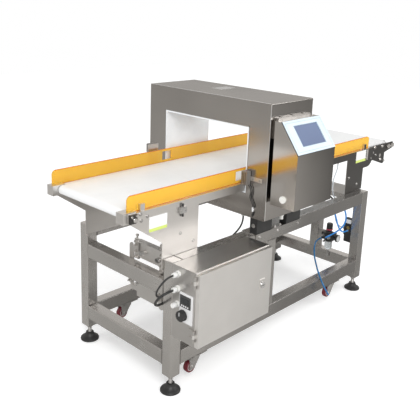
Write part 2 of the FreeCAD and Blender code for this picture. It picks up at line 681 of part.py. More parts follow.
def on_screen_slope(name, along, up, out, size):
    """A box laid on the slanted face, from its lower corner at the infeed side."""
    piece = box(name, ("0", "0", "0"), size)
    piece.Placement = FreeCAD.Placement(V(0, 0, 0), Turn(V(1, 0, 0), 1))
    bind(piece, "Placement.Rotation.Angle", "screen_tilt * 1 deg")
    bind(piece, "Placement.Base.x", f"origin_x + console_place + {along}")
    bind(piece, "Placement.Base.y", f"origin_y + console_front"
         f" + (({up}) * screen_run - ({out}) * screen_rise) / screen_slope")
    bind(piece, "Placement.Base.z", f"console_shoulder"
         f" + (({up}) * screen_rise + ({out}) * screen_run) / screen_slope")
    return piece


bezel_x = "(console_length - bezel_length) / 2"
bezel = on_screen_slope("screen_bezel", bezel_x, "bezel_inset", "0",
                        ("bezel_length", "bezel_height", "bezel_thickness"))
module = on_screen_slope("screen_module", f"{bezel_x} + module_inset",
                         "bezel_inset + module_inset", "- module_depth",
                         ("bezel_length - 2 * module_inset",
                          "bezel_height - 2 * module_inset", "module_depth"))
window = on_screen_slope("screen_cutout", f"{bezel_x} + module_inset - panel_clearance",
                         "bezel_inset + module_inset - panel_clearance", "- module_depth",
                         ("bezel_length - 2 * module_inset + 2 * panel_clearance",
                          "bezel_height - 2 * module_inset + 2 * panel_clearance",
                          "module_depth"))
node("console_case", cut("console_case", skin, [core, window]))
node("touch_screen", fused("touch_screen", [bezel, module]))
node("console_hanger", box("console_hanger",
                           ("console_place + hanger_inset", "console_back", "hanger_base"),
                           ("console_length - 2 * hanger_inset", "console_gap",
                            "hanger_top - hanger_base")))

# Guards, their clamps and the photoelectric sensors --------------------------

sizes("Guards", guard_thickness=5, guard_inset=11, guard_height=60, guard_round=18,
      front_guard_reach=160, front_guard_end=1440, back_guard_reach=172,
      back_guard_end=1150, eye_window_place=396, eye_window_length=54,
      eye_window_base=758, eye_window_height=39)
place("guard_y", "plate_inside + guard_inset")
place("nose_block_top", "nose_block_base + nose_block_height")
for side, face, edge in (
        ("front", "guard_y + guard_thickness", "guard_y"),
        ("back", mirrored_y("guard_y"), mirrored_y("guard_y", "guard_thickness"))):
    sheet = plate(f"guard_{side}_sheet", "front",
                  [("nose_block_end", "plate_top"), (f"{side}_guard_end", "plate_top"),
                   (f"{side}_guard_end", "plate_top + guard_height"),
                   (f"- {side}_guard_reach", "plate_top + guard_height"),
                   (f"- {side}_guard_reach", "nose_block_top"),
                   ("nose_block_end", "nose_block_top")],
                  "guard_thickness", ("0", face, "0"),
                  [(2, "guard_round"), (3, "guard_round")])
    window = box(f"guard_{side}_window", ("eye_window_place", edge, "eye_window_base"),
                 ("eye_window_length", "guard_thickness", "eye_window_height"))
    node(f"guard_{side}", cut(f"guard_{side}", sheet, [window]))

sizes("Guard clamps", stay_from_block=20, stay_from_end=60, stay_length=20,
      stay_height=45, rod_clamp_place=69, rod_clamp_length=32, rod_clamp_depth=12,
      rod_clamp_base=700, rod_clamp_height=25, rod_radius=4, rod_base=687, rod_length=50)
clamps = []
for side, y in (("front", "plate_inside"), ("back", mirrored_y("guard_y"))):
    for end, x in (("infeed", "nose_block_end + stay_from_block"),
                   ("discharge", f"{side}_guard_end - stay_from_end")):
        clamps.append(box(f"{side}_{end}_stay", (x, y, "plate_top"),
                          ("stay_length", "guard_inset", "stay_height")))
holder = box("rod_clamp_body", ("rod_clamp_place", "tube_side - rod_clamp_depth",
                                "rod_clamp_base"),
             ("rod_clamp_length", "rod_clamp_depth", "rod_clamp_height"))
mast = rod("rod_clamp_rod", ("rod_clamp_place + rod_clamp_length / 2",
                             "tube_side - rod_clamp_depth / 2", "rod_base"),
           "rod_radius", "rod_length")
clamps.append(fused("rod_clamp", [holder, mast]))
node("guard_clamps", clamps)

sizes("Photoelectric sensors", eye_plate_thickness=3, eye_plate_front=39,
      eye_plate_length=86, eye_plate_base=765, eye_plate_height=16, eye_depth=24,
      eye_width=27, eye_base=748, eye_height=55, mate_place=329, mate_length=59,
      mate_plate_base=700, mate_plate_top=833, mate_depth=22, mate_inset=12,
      mate_base=797)
eyes = [fused("near_eye", [
    box("near_eye_plate", ("head_place - eye_plate_thickness", "- eye_plate_front",
                           "eye_plate_base"),
        ("eye_plate_thickness", "eye_plate_length", "eye_plate_height")),
    box("near_eye_body", ("head_place - eye_plate_thickness - eye_depth",
                          "eye_plate_length - eye_plate_front - eye_width", "eye_base"),
        ("eye_depth", "eye_width", "eye_height"))])]
eyes.append(fused("far_eye", [
    box("far_eye_plate", ("mate_place", "far_face", "mate_plate_base"),
        ("mate_length", "eye_plate_thickness", "mate_plate_top - mate_plate_base")),
    box("far_eye_body", ("mate_place + mate_inset", "far_face + eye_plate_thickness",
                         "mate_base"),
        ("mate_length - 2 * mate_inset", "mate_depth", "mate_plate_top - mate_base"))]))
node("photo_eyes", eyes)

# Control cabinet on the front of the frame -----------------------------------

sizes("Cabinet", cabinet_length=404, cabinet_depth=116, cabinet_base=255, cabinet_wall=2,
      lip_width=12, door_thickness=19, door_gap=1, door_base_gap=1, door_top_gap=3)
sizes("Hinges", hinge_reach=6, hinge_set=2, barrel_radius=5, hinge_pin=2,
      hinge_clearance=0.05, hinge_gap=0.3, leaf_thickness=3, leaf_width=28,
      knuckle_height=15, low_hinge_base=277, high_hinge_base=483)
sizes("Door lock", lock_from_edge=53, lock_height=394.5, lock_radius=9,
      lock_clearance=0.05, lock_head_radius=12, lock_head=4, escutcheon_width=30,
      escutcheon_height=47, escutcheon_thickness=3, cam_gap=0.5, cam_thickness=3,
      cam_width=14, cam_reach=44, lock_gap=0.3)
sizes("Speed panel", panel_front=107, panel_back=42, panel_base=336, panel_top=449,
      panel_thickness=5, panel_module_inset=5, panel_module_depth=60,
      cutout_clearance=0.5, knob_height=364, knob_from_front=44, knob_radius=21,
      knob_depth=20, knob_taper=2, knob_gap=0.3, knob_shaft=3, knob_socket=10,
      knob_clearance=0.05)
place("cabinet_front", "- cabinet_depth")
place("cabinet_height", "rail_top - cabinet_base")
place("door_face", "cabinet_front - door_thickness")
place("hinge_y", "cabinet_front - hinge_set")
place("knuckle_step", "knuckle_height + hinge_gap")
place("gland_line", "- gland_y")
place("lock_x", "cabinet_length - lock_from_edge")

shell = box("cabinet_blank", ("0", "cabinet_front", "cabinet_base"),
            ("cabinet_length", "cabinet_depth", "cabinet_height"))
room = box("cabinet_room", ("cabinet_wall", "cabinet_front + cabinet_wall",
                            "cabinet_base + cabinet_wall"),
           ("cabinet_length - 2 * cabinet_wall", "cabinet_depth - 2 * cabinet_wall",
            "cabinet_height - 2 * cabinet_wall"))
doorway = box("cabinet_doorway", ("lip_width", "cabinet_front", "cabinet_base + lip_width"),
              ("cabinet_length - 2 * lip_width", "cabinet_wall",
               "cabinet_height - 2 * lip_width"))
panel_cutout = box("panel_cutout", ("0", "panel_module_inset - panel_front - cutout_clearance",
                                    "panel_base + panel_module_inset - cutout_clearance"),
                   ("cabinet_wall",
                    "panel_front - panel_back - 2 * panel_module_inset + 2 * cutout_clearance",
                    "panel_top - panel_base - 2 * panel_module_inset + 2 * cutout_clearance"))
gland_heights = ("high_gland", "middle_gland", "low_gland")
gland_holes = [rod(f"{z}_hole", ("0", "gland_line", z), "gland_thread", "cabinet_wall", "x")
               for z in gland_heights]
walls = cut("cabinet_walls", shell, [room, doorway, panel_cutout, *gland_holes])
hinge_parts = [walls]
door_barrels = []
for level in ("low", "high"):
    base = f"{level}_hinge_base"
    for part, z in (("bottom", base), ("top", f"{base} + 2 * knuckle_step")):
        hinge_parts.append(rod(f"{level}_{part}_barrel", ("- hinge_reach", "hinge_y", z),
                               "barrel_radius", "knuckle_height"))
        hinge_parts.append(box(f"{level}_{part}_leaf", ("- leaf_thickness", "hinge_y", z),
                               ("leaf_thickness", "leaf_width", "knuckle_height")))
    hinge_parts.append(rod(f"{level}_hinge_pin", ("- hinge_reach", "hinge_y", base),
                           "hinge_pin", "2 * knuckle_step + knuckle_height"))
    door_barrels.append((level, f"{base} + knuckle_step"))
node("cabinet_body", fused("cabinet_body", hinge_parts))

slab = box("door_slab", ("door_gap", "door_face", "cabinet_base + door_base_gap"),
           ("cabinet_length - 2 * door_gap", "door_thickness",
            "cabinet_height - door_base_gap - door_top_gap"))
hollow = box("door_hollow", ("door_gap + cabinet_wall", "door_face + cabinet_wall",
                             "cabinet_base + door_base_gap + cabinet_wall"),
             ("cabinet_length - 2 * door_gap - 2 * cabinet_wall",
              "door_thickness - cabinet_wall",
              "cabinet_height - door_base_gap - door_top_gap - 2 * cabinet_wall"))
door_parts = [cut("door_tray", slab, [hollow])]
door_parts.append(box("lock_escutcheon",
                      ("lock_x - escutcheon_width / 2", "door_face - escutcheon_thickness",
                       "lock_height - escutcheon_height / 2"),
                      ("escutcheon_width", "escutcheon_thickness", "escutcheon_height")))
bores = [rod("lock_bore", ("lock_x", "door_face - escutcheon_thickness", "lock_height"),
             "lock_radius + lock_clearance", "escutcheon_thickness + cabinet_wall", "y")]
for level, z in door_barrels:
    door_parts.append(rod(f"{level}_door_barrel", ("- hinge_reach", "hinge_y", z),
                          "barrel_radius", "knuckle_height"))
    door_parts.append(box(f"{level}_door_leaf",
                          ("- hinge_reach", "hinge_y - barrel_radius", z),
                          ("hinge_reach + door_gap", "leaf_thickness", "knuckle_height")))
    bores.append(rod(f"{level}_barrel_bore", ("- hinge_reach", "hinge_y", z),
                     "hinge_pin + hinge_clearance", "knuckle_height"))
node("cabinet_door", cut("cabinet_door", fused("door_welded", door_parts), bores))

cam_y = "cabinet_front + cabinet_wall + cam_gap"
node("door_lock", fused("door_lock", [
    rod("lock_head", ("lock_x", "door_face - escutcheon_thickness - lock_gap - lock_head",
                      "lock_height"), "lock_head_radius", "lock_head", "y"),
    rod("lock_barrel", ("lock_x", "door_face - escutcheon_thickness - lock_gap", "lock_height"),
        "lock_radius", f"{cam_y} - door_face + escutcheon_thickness + lock_gap", "y"),
    box("lock_cam", ("lock_x - cam_width / 2", cam_y, "lock_height - cam_width / 2"),
        ("cam_reach + cam_width / 2", "cam_thickness", "cam_width"))]))

knob_y = "knob_from_front - panel_front"
panel = fused("speed_panel_body", [
    box("panel_face", ("- panel_thickness", "- panel_front", "panel_base"),
        ("panel_thickness", "panel_front - panel_back", "panel_top - panel_base")),
    box("panel_module", ("0", "panel_module_inset - panel_front",
                         "panel_base + panel_module_inset"),
        ("panel_module_depth", "panel_front - panel_back - 2 * panel_module_inset",
         "panel_top - panel_base - 2 * panel_module_inset"))])
node("speed_panel", cut("speed_panel", panel, [
    rod("knob_socket", ("- panel_thickness", knob_y, "knob_height"),
        "knob_shaft + knob_clearance", "knob_socket", "x")]))
node("speed_knob", turned("speed_knob", [
    ("0", "0"), ("knob_radius - knob_taper", "0"), ("knob_radius", "knob_depth"),
    ("knob_shaft", "knob_depth"), ("knob_shaft", "knob_depth + knob_gap + knob_socket - knob_taper"),
    ("0", "knob_depth + knob_gap + knob_socket - knob_taper")],
    ("- panel_thickness - knob_gap - knob_depth", knob_y, "knob_height"), "x"))

sizes("Cabinet electrics", mount_plate_inset=40, mount_plate_thickness=3,
      driver_length=96, driver_height=140, driver_depth=72, supply_length=70,
      supply_height=120, supply_depth=45, breaker_length=54, breaker_height=84,
      breaker_depth=60, electrics_gap=20)
place("mount_plate_y", "- cabinet_wall - mount_plate_thickness")
electrics = [box("mount_plate", ("mount_plate_inset + panel_module_depth / 2", "mount_plate_y",
                                 "cabinet_base + mount_plate_inset"),
                 ("cabinet_length - 2 * mount_plate_inset - panel_module_depth / 2",
                  "mount_plate_thickness", "cabinet_height - 2 * mount_plate_inset"))]
x = "mount_plate_inset + panel_module_depth / 2 + electrics_gap / 2"
for name in ("driver", "supply", "breaker"):
    electrics.append(box(f"{name}_unit",
                         (x, f"mount_plate_y - {name}_depth",
                          "cabinet_base + mount_plate_inset + electrics_gap"),
                         (f"{name}_length", f"{name}_depth", f"{name}_height")))
    x = f"{x} + {name}_length + electrics_gap / 2"
node("cabinet_electrics", electrics)


def gland(name, at, axis, bore, wall):
    """Cable gland: clamping dome, body nut, thread through the wall, lock nut."""
    outline = [(bore, "0"), ("gland_radius", "0"),
               ("gland_radius", "gland_length - gland_nut_length"),
               ("gland_nut_radius", "gland_length - gland_nut_length"),
               ("gland_nut_radius", "gland_length"), ("gland_thread", "gland_length"),
               ("gland_thread", f"gland_length + {wall}"),
               ("gland_nut_radius", f"gland_length + {wall}"),
               ("gland_nut_radius", f"gland_length + {wall} + inner_nut"),
               (bore, f"gland_length + {wall} + inner_nut")]
    return turned(name, outline, at, axis)


sizes("Other fittings", plug_radius=14, plug_depth=6, plug_y=61, plug_height=720,
      clip_length=10, clip_height=44, clip_base=484, clip_saddle=6, first_clip=262,
      clip_step=400)
fittings = []
for name, bore in (("high", "0"), ("middle", "0"), ("low", "gland_hole")):
    fittings.append(gland(f"{name}_gland_body", ("- gland_length", "gland_line", f"{name}_gland"),
                          "x", bore, "cabinet_wall"))
for name, y in (("front", "- front_gland_y"), ("inner", "inner_gland_y")):
    fittings.append(gland(f"head_{name}_gland", (f"{name}_gland_place", y,
                                                 "head_base - gland_length"),
                          "z", "0", "case_wall"))
fittings.append(rod("console_plug", ("console_place - plug_depth", "console_back - plug_y",
                                     "plug_height"), "plug_radius", "plug_depth", "x"))
for k in range(3):
    fittings.append(box(f"cable_clip_{k + 1}", (f"first_clip + {k} * clip_step", "tube_side",
                                                "clip_base"),
                        ("clip_length", "clip_saddle", "clip_height")))
node("cable_fittings", fittings)

# Compressed air: regulator, reject valve and blow nozzle ----------------------

sizes("Air regulator", regulator_place=1285, regulator_length=50, regulator_front=134,
      regulator_width=71, regulator_base=242, regulator_height=43, collar_radius=17,
      collar_height=10, dial_radius=16, dial_height=38, dial_gap=0.3, dial_stem=5,
      dial_socket=8, dial_clearance=0.05, gauge_radius=20, gauge_depth=11, gauge_neck=6,
      gauge_stand=12, bowl_radius=20, bowl_height=55, bowl_shoulder=14, drain_radius=4,
      drain_height=44, inlet_radius=7, inlet_length=10, inlet_set=62, inlet_rise=8,
      outlet_radius=6, outlet_length=8, outlet_rise=30, outlet_set=20)
place("regulator_x", "regulator_place + regulator_length / 2")
place("regulator_y", "regulator_front + regulator_width / 2")
place("regulator_top", "regulator_base + regulator_height")
block = box("regulator_block", ("regulator_place", "regulator_front", "regulator_base"),
            ("regulator_length", "regulator_width", "regulator_height"))
arm = box("regulator_arm", ("frame_length - tube_side", "regulator_front + regulator_width",
                            "regulator_base"),
          ("regulator_place + regulator_length - frame_length + tube_side",
           "air_post_place - regulator_front - regulator_width", "regulator_height"))
collar = rod("regulator_collar", ("regulator_x", "regulator_y", "regulator_top"),
             "collar_radius", "collar_height")
bowl = turned("regulator_bowl", [
    ("0", "- drain_height - bowl_height"), ("drain_radius", "- drain_height - bowl_height"),
    ("drain_radius", "- bowl_height"), ("bowl_radius - drain_radius", "- bowl_height"),
    ("bowl_radius", "- bowl_height + bowl_shoulder"), ("bowl_radius", "0"), ("0", "0")],
    ("regulator_x", "regulator_y", "regulator_base"))
gauge = turned("regulator_gauge", [
    ("0", "0"), ("gauge_radius", "0"), ("gauge_radius", "gauge_depth"),
    ("gauge_neck", "gauge_depth"), ("gauge_neck", "gauge_depth + gauge_stand"),
    ("0", "gauge_depth + gauge_stand")],
    ("regulator_x", "regulator_front - gauge_depth - gauge_stand",
     "regulator_base + gauge_radius"), "y")
inlet = rod("regulator_inlet", ("regulator_place - inlet_length",
                                "regulator_front + inlet_set", "regulator_base + inlet_rise"),
            "inlet_radius", "inlet_length", "x")
outlet = rod("regulator_outlet", ("regulator_place - outlet_length",
                                  "regulator_front + outlet_set",
                                  "regulator_base + outlet_rise"),
             "outlet_radius", "outlet_length", "x")
socket = rod("dial_socket_bore", ("regulator_x", "regulator_y",
                                  "regulator_top + collar_height - dial_socket"),
             "dial_stem + dial_clearance", "dial_socket")
node("air_regulator", cut("air_regulator", fused("regulator_body", [
    block, arm, collar, bowl, gauge, inlet, outlet]), [socket]))
dial_base = "regulator_top + collar_height + dial_gap"
node("regulator_dial", fused("regulator_dial", [
    rod("dial_cap", ("regulator_x", "regulator_y", dial_base), "dial_radius", "dial_height"),
    rod("dial_spigot", ("regulator_x", "regulator_y",
                        "regulator_top + collar_height - dial_socket + dial_gap"),
        "dial_stem", "dial_socket")]))

sizes("Reject valve", valve_inset=11, valve_length=30, valve_width=50, valve_base=285,
      valve_height=55, coil_inset=3, coil_height=39, cap_height=36, port_radius=6,
      port_length=8, port_in=20, port_rise=31, nozzle_place=1145, nozzle_length=30,
      nozzle_width=22, nozzle_base=716, nozzle_stub=8, nozzle_stub_radius=5)
place("valve_x", "frame_length - tube_side + valve_inset")
place("nozzle_x", "nozzle_place + nozzle_length / 2")
inner = ("valve_length - 2 * coil_inset", "valve_width - 2 * coil_inset")
node("solenoid_valve", fused("solenoid_valve", [
    box("valve_block", ("valve_x", "tube_side", "valve_base"),
        ("valve_length", "valve_width", "valve_height")),
    box("valve_coil", ("valve_x + coil_inset", "tube_side + coil_inset",
                       "valve_base + valve_height"), (*inner, "coil_height")),
    box("valve_cap", ("valve_x + coil_inset", "tube_side + coil_inset",
                      "valve_base - cap_height"), (*inner, "cap_height")),
    rod("valve_inlet", ("valve_x - port_length", "tube_side + port_in",
                        "valve_base + port_rise"), "port_radius", "port_length", "x"),
    rod("valve_outlet", ("valve_x + valve_length / 2", "tube_side + valve_width",
                         "valve_base + port_rise"), "port_radius", "port_length", "y")]))
node("blow_nozzle", fused("blow_nozzle", [
    box("nozzle_block", ("nozzle_place", "plate_inside", "nozzle_base"),
        ("nozzle_length", "nozzle_width", "plate_top - plate_thickness - nozzle_base")),
    rod("nozzle_stub", ("nozzle_x", "plate_inside + nozzle_width / 2",
                        "nozzle_base - nozzle_stub"), "nozzle_stub_radius", "nozzle_stub")]))

# Infeed accessory bracket on the beam below the belt ----------------------------

sizes("Infeed bracket", strip_thickness=3, strip_flat=0.2, tall_strip_y=101, tall_strip_base=294,
      tall_strip_top=566, short_strip_y=278, short_strip_base=341, short_strip_top=520,
      strip_width=26, high_plate_y=87, high_plate_width=148, high_plate_base=473,
      high_plate_top=552, shelf_depth=25, low_plate_y=134, low_plate_width=120,
      low_plate_base=305, low_plate_height=58, tie_y=112, tie_width=180, tie_height=20,
      hand_nut_radius=9, hand_nut_length=24, hand_nut_height=506, hand_nut_inset=27)
place("strip_round", "(strip_width - strip_flat) / 2")
bracket = []
for name in ("tall", "short"):
    strip = plate(f"{name}_strip", "end",
                  [("0", "0"), ("strip_width", "0"),
                   ("strip_width", f"{name}_strip_top - {name}_strip_base"),
                   ("0", f"{name}_strip_top - {name}_strip_base")],
                  "strip_thickness", ("tube_side", f"{name}_strip_y", f"{name}_strip_base"),
                  [(i, "strip_round") for i in range(4)])
    bracket.append(strip)
plate_x = "tube_side - strip_thickness"
bracket.append(box("high_plate", (plate_x, "high_plate_y", "high_plate_base"),
                   ("strip_thickness", "high_plate_width",
                    "high_plate_top - high_plate_base")))
bracket.append(box("high_shelf", (f"{plate_x} - shelf_depth", "high_plate_y",
                                  "high_plate_top - strip_thickness"),
                   ("shelf_depth", "high_plate_width", "strip_thickness")))
bracket.append(box("low_plate", (plate_x, "low_plate_y", "low_plate_base"),
                   ("strip_thickness", "low_plate_width", "low_plate_height")))
bracket.append(box("low_tie", (plate_x, "tie_y", "low_plate_base + tie_height"),
                   ("strip_thickness", "tie_width", "tie_height")))
for k, y in enumerate(("high_plate_y + hand_nut_inset",
                       "high_plate_y + high_plate_width - hand_nut_inset"), 1):
    bracket.append(rod(f"hand_nut_{k}", (f"{plate_x} - hand_nut_length", y, "hand_nut_height"),
                       "hand_nut_radius", "hand_nut_length", "x"))
node("infeed_bracket", fused("infeed_bracket", bracket))

# Cords: straight runs joined by tangent arcs, through points chosen by hand ------

sizes("Cords", head_cable_radius=3.5, motor_cable_radius=4.5, air_tube_radius=4,
      blow_tube_radius=3, hose_radius=4)

CORDS = {
    "head_cable": ("head_cable_radius", [
        (-28, -30, 512), (-50, -30, 512), (-67, -22, 496), (-66, 2, 466), (-54, 28, 432),
        (-30, 52, 401), (8, 68, 380), (52, 71, 386), (88, 67, 415), (112, 63, 455),
        (146, 61, 493), (200, 60.5, 511), (267, 60, 513), (335, 62, 512), (395, 72, 518),
        (446, 86, 526), (484, 97, 538), (500, 100, 560), (500, 100, 582)]),
    "motor_cable": ("motor_cable_radius", [
        (-28, -30, 455), (-55, -30, 455), (-75, -12, 437), (-67, 20, 400), (-34, 52, 366),
        (14, 70, 349), (62, 76, 356), (100, 74, 384), (126, 68, 426), (150, 64, 468),
        (190, 62, 492), (255, 61.5, 494.5), (350, 62, 493), (460, 61.5, 495),
        (560, 62, 493), (667, 61.5, 494.5), (780, 62, 493), (900, 61.5, 495),
        (1010, 62, 493.5), (1090, 62, 495), (1160, 72, 498), (1212, 104, 504),
        (1244, 160, 510), (1260, 240, 515), (1264, 320, 517), (1264, 376, 524),
        (1263, 415, 540), (1262, 430, 567), (1262, 430, 595)]),
    "air_tube": ("air_tube_radius", [
        (1277, 154, 272), (1250, 154, 272), (1230, 138, 282), (1236, 114, 302),
        (1264, 92, 322), (1287, 75, 349), (1293, 67, 382), (1284, 65, 415),
        (1265, 65, 447), (1257, 65, 481), (1240, 65, 510), (1210, 65, 523),
        (1180, 65, 512), (1165, 65, 484), (1172, 65, 450), (1194, 66, 414),
        (1215, 68, 378), (1240, 70, 345), (1270, 71, 323), (1298, 70, 316),
        (1323, 70, 316)]),
    "blow_tube": ("blow_tube_radius", [
        (1346, 108, 316), (1346, 134, 316), (1345, 154, 334), (1336, 158, 366),
        (1320, 154, 402), (1300, 140, 440), (1272, 120, 476), (1236, 100, 502),
        (1194, 84, 518), (1156, 70, 538), (1130, 63, 570), (1122, 61, 608),
        (1132, 62, 642), (1152, 64, 666), (1160, 64, 688), (1160, 64, 708)]),
    "supply_hose": ("hose_radius", [
        (1275, 196, 250), (1240, 196, 250), (1192, 178, 247), (1146, 150, 236),
        (1104, 118, 216), (1060, 76, 200), (1008, 28, 190), (975, -14, 170),
        (976, -38, 136), (1000, -44, 100)])}


def cord(name, radius, points):
    """A round tube along a hand-laid route, in a node of its own."""
    stops = [V(*p) for p in points]
    edges = []
    radii = []
    here = stops[0]
    for before, corner, after in zip(stops, stops[1:], stops[2:]):
        back, ahead = before - corner, after - corner
        half_turn = (math.pi - back.getAngle(ahead)) / 2
        reach = 0.45 * min(back.Length, ahead.Length)
        radii.append(reach / math.tan(half_turn))
        back.normalize()
        ahead.normalize()
        start, end = corner + back * reach, corner + ahead * reach
        inward = (back + ahead).normalize()
        depth = radii[-1] / math.cos(half_turn) - radii[-1]
        edges.append(Part.LineSegment(here, start).toShape())
        edges.append(Part.Arc(start, corner + inward * depth, end).toShape())
        here = end
    edges.append(Part.LineSegment(here, stops[-1]).toShape())
    path = Part.Wire(edges)
    ring = Part.Circle(stops[0], stops[1] - stops[0], number(radius)).toShape()
    piece = doc.addObject("Part::Feature", name)
    piece.Shape = path.makePipeShell([Part.Wire([ring])], True, False)
    put(piece, ("0", "0", "0"))
    section = math.pi * number(radius) ** 2
    print(f"{name}: {path.Length:.0f} mm long, tightest bend {min(radii):.1f} mm, "
          f"volume {piece.Shape.Volume / (section * path.Length):.4f} of section x length")
    return piece


for name, (radius, points) in CORDS.items():
    node(name, cord(name, radius, points))

# Write every sub-part ----------------------------------------------------

doc.recompute()
os.makedirs("parts", exist_ok=True)
for made in doc.Objects:
    if "Invalid" in made.State or "Error" in made.State:
        raise RuntimeError(f"{made.Label}: {made.State}")
for made in nodes:
    if made.Shape.isNull() or not made.Shape.isValid():
        raise RuntimeError(f"{made.Label} has no valid shape")
    made.Shape.exportStep(f"parts/{made.Label}.step")
print(len(nodes), "sub-parts")
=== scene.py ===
import math

import bmesh
import bpy
from mathutils import Matrix, Vector


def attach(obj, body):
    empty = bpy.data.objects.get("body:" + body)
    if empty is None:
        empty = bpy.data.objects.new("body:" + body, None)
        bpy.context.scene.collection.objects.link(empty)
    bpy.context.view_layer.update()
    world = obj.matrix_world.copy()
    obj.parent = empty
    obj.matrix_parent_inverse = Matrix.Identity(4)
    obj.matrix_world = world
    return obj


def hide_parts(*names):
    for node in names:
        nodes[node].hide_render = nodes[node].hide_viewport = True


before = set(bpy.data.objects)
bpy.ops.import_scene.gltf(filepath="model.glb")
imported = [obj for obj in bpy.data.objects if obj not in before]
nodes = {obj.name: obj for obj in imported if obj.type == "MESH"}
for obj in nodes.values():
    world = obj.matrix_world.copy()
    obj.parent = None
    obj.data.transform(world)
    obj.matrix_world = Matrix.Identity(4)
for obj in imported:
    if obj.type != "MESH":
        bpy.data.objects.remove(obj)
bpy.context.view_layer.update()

# Frame: 50 mm square stainless tube, welded and brushed. Each tube has rolled corners, and a thin ground
# weld bead runs round it where it meets the next.
origin_x, origin_y = 750, 217.893
metre = 1000


def spot(x, y, z):
    """A point given in millimetres from the frame's near infeed corner, in the part's own frame."""
    return Vector((x - origin_x, y - origin_y, z)) / metre


class Value:
    """An output of a material's node; arithmetic on it adds Math nodes to the same material."""

    def __init__(self, tree, socket):
        self.tree = tree
        self.socket = socket

    def node(self, kind, settings, inputs, output=0):
        """A new node of that type, with its settings made first and its inputs set or linked after."""
        made = self.tree.nodes.new("ShaderNode" + kind)
        for name, setting in settings.items():
            setattr(made, name, setting)
        for key, given in inputs.items():
            if isinstance(given, Value):
                self.tree.links.new(given.socket, made.inputs[key])
            else:
                made.inputs[key].default_value = given
        return Value(self.tree, made.outputs[output])

    def math(self, operation, *given):
        return self.node("Math", {"operation": operation}, dict(enumerate(given)))

    def __add__(self, other):
        return self.math("ADD", self, other)

    def __radd__(self, other):
        return self.math("ADD", other, self)

    def __sub__(self, other):
        return self.math("SUBTRACT", self, other)

    def __rsub__(self, other):
        return self.math("SUBTRACT", other, self)

    def __mul__(self, other):
        return self.math("MULTIPLY", self, other)

    def __rmul__(self, other):
        return self.math("MULTIPLY", other, self)

    def __gt__(self, other):
        return self.math("GREATER_THAN", self, other)

    def __lt__(self, other):
        return self.math("LESS_THAN", self, other)

    def __abs__(self):
        return self.math("ABSOLUTE", self)

    def clipped(self, low, high):
        """This value spread from 0 at low to 1 at high."""
        return self.node("MapRange", {"clamp": True}, {0: self, 1: low, 2: high})

    def stretched(self, x, y, z):
        """These coordinates, scaled apart along each axis."""
        return self.node("VectorMath", {"operation": "MULTIPLY"}, {0: self, 1: (x, y, z)})

    def noise(self, scale, detail=3.0, rough=0.55):
        """Noise from 0 to 1 at these coordinates."""
        inputs = {"Vector": self, "Scale": scale, "Detail": detail, "Roughness": rough}
        return self.node("TexNoise", {}, inputs)

    def part(self, axis):
        """One of these coordinates, by its number."""
        return self.node("SeparateXYZ", {}, {0: self}, output=axis)

    def blend(self, low, high):
        """The colour between low, where this is 0, and high, where it is 1."""
        return self.node("Mix", {"data_type": "RGBA"}, {0: self, 6: low, 7: high}, output=2)

    def bumped(self, distance, strength=1.0):
        """A surface normal dented by this height, in metres for a value of 1."""
        return self.node("Bump", {}, {"Height": self, "Distance": distance, "Strength": strength})


def finish(name, surface, **constants):
    """A material: surface takes the object's coordinates and normal, and returns the inputs that vary."""
    made = bpy.data.materials.new(name)
    made.use_nodes = True
    tree = made.node_tree
    shader = tree.nodes["Principled BSDF"]
    start = tree.nodes.new("ShaderNodeTexCoord")
    varying = surface(Value(tree, start.outputs["Object"]), Value(tree, start.outputs["Normal"]))
    for key, given in constants.items():
        shader.inputs[key.replace("_", " ").title().replace("Ior", "IOR")].default_value = given
    for key, given in varying.items():
        tree.links.new(given.socket, shader.inputs[key])
    return made


def grey(level, warm=0.0):
    """A near-neutral colour, a little warmer by warm."""
    return (level * (1 + warm), level, level * (1 - warm), 1)


def brushed(name, level, rough, warm=0.03, front=1.0, upright=False):
    """Brushed stainless steel: fine lines level along the walls and lengthwise on top, with cloudy wear.

    Painted shade: faces towards the operator are painted darker along the machine, to front times as bright
    past the search head.
    """
    lines, lengthwise = 1500, 20
    dark, bright = 0.92, 1.06

    def surface(where, normal):
        if upright:
            grain = where.stretched(lines, lines, lengthwise).noise(1.0, 2.0, 0.5)
        else:
            wall_lines = where.stretched(lengthwise, lengthwise, lines).noise(1.0, 2.0, 0.5)
            top_lines = where.stretched(lengthwise, lines, lengthwise).noise(1.0, 2.0, 0.5)
            grain = wall_lines + (abs(normal.part(2)) > 0.7) * (top_lines - wall_lines)
        cloud = where.noise(4.0, 3.0, 0.5)
        tone = (grain * 0.25 + cloud * 0.75).clipped(0.3, 0.7)
        steel = tone.blend(grey(level * dark, warm), grey(level * bright, warm))
        # Painted shade: faces towards the operator are darkened past the search head.
        if front != 1.0:
            painted_shade = tone.blend(grey(level * front * dark, warm), grey(level * front * bright, warm))
            shade_past_head = normal.part(1).clipped(-0.4, -0.8) * where.part(0).clipped(-0.6, 0.1)
            steel = shade_past_head.blend(steel, painted_shade)
        return {"Base Color": steel,
                "Roughness": rough + (grain - 0.5) * 0.04 + (cloud - 0.5) * 0.1,
                "Normal": grain.bumped(0.0000015, 0.25)}

    return finish(name, surface, metallic=1.0, anisotropic=0.35)


def moulded(name, dark, light, rough=0.5, grain=900, depth=0.00003, **constants):
    """Moulded plastic or rubber: a fine pebbled skin with slight cloudiness between two tones."""

    def surface(where, normal):
        skin = where.noise(grain, 2.0, 0.5)
        cloud = where.noise(14.0, 4.0, 0.6)
        tone = (skin * 0.35 + cloud * 0.65).clipped(0.32, 0.68)
        return {"Base Color": tone.blend(dark, light),
                "Roughness": rough + (cloud - 0.5) * 0.18 + (skin - 0.5) * 0.1,
                "Normal": skin.bumped(depth, 0.4)}

    return finish(name, surface, **constants)


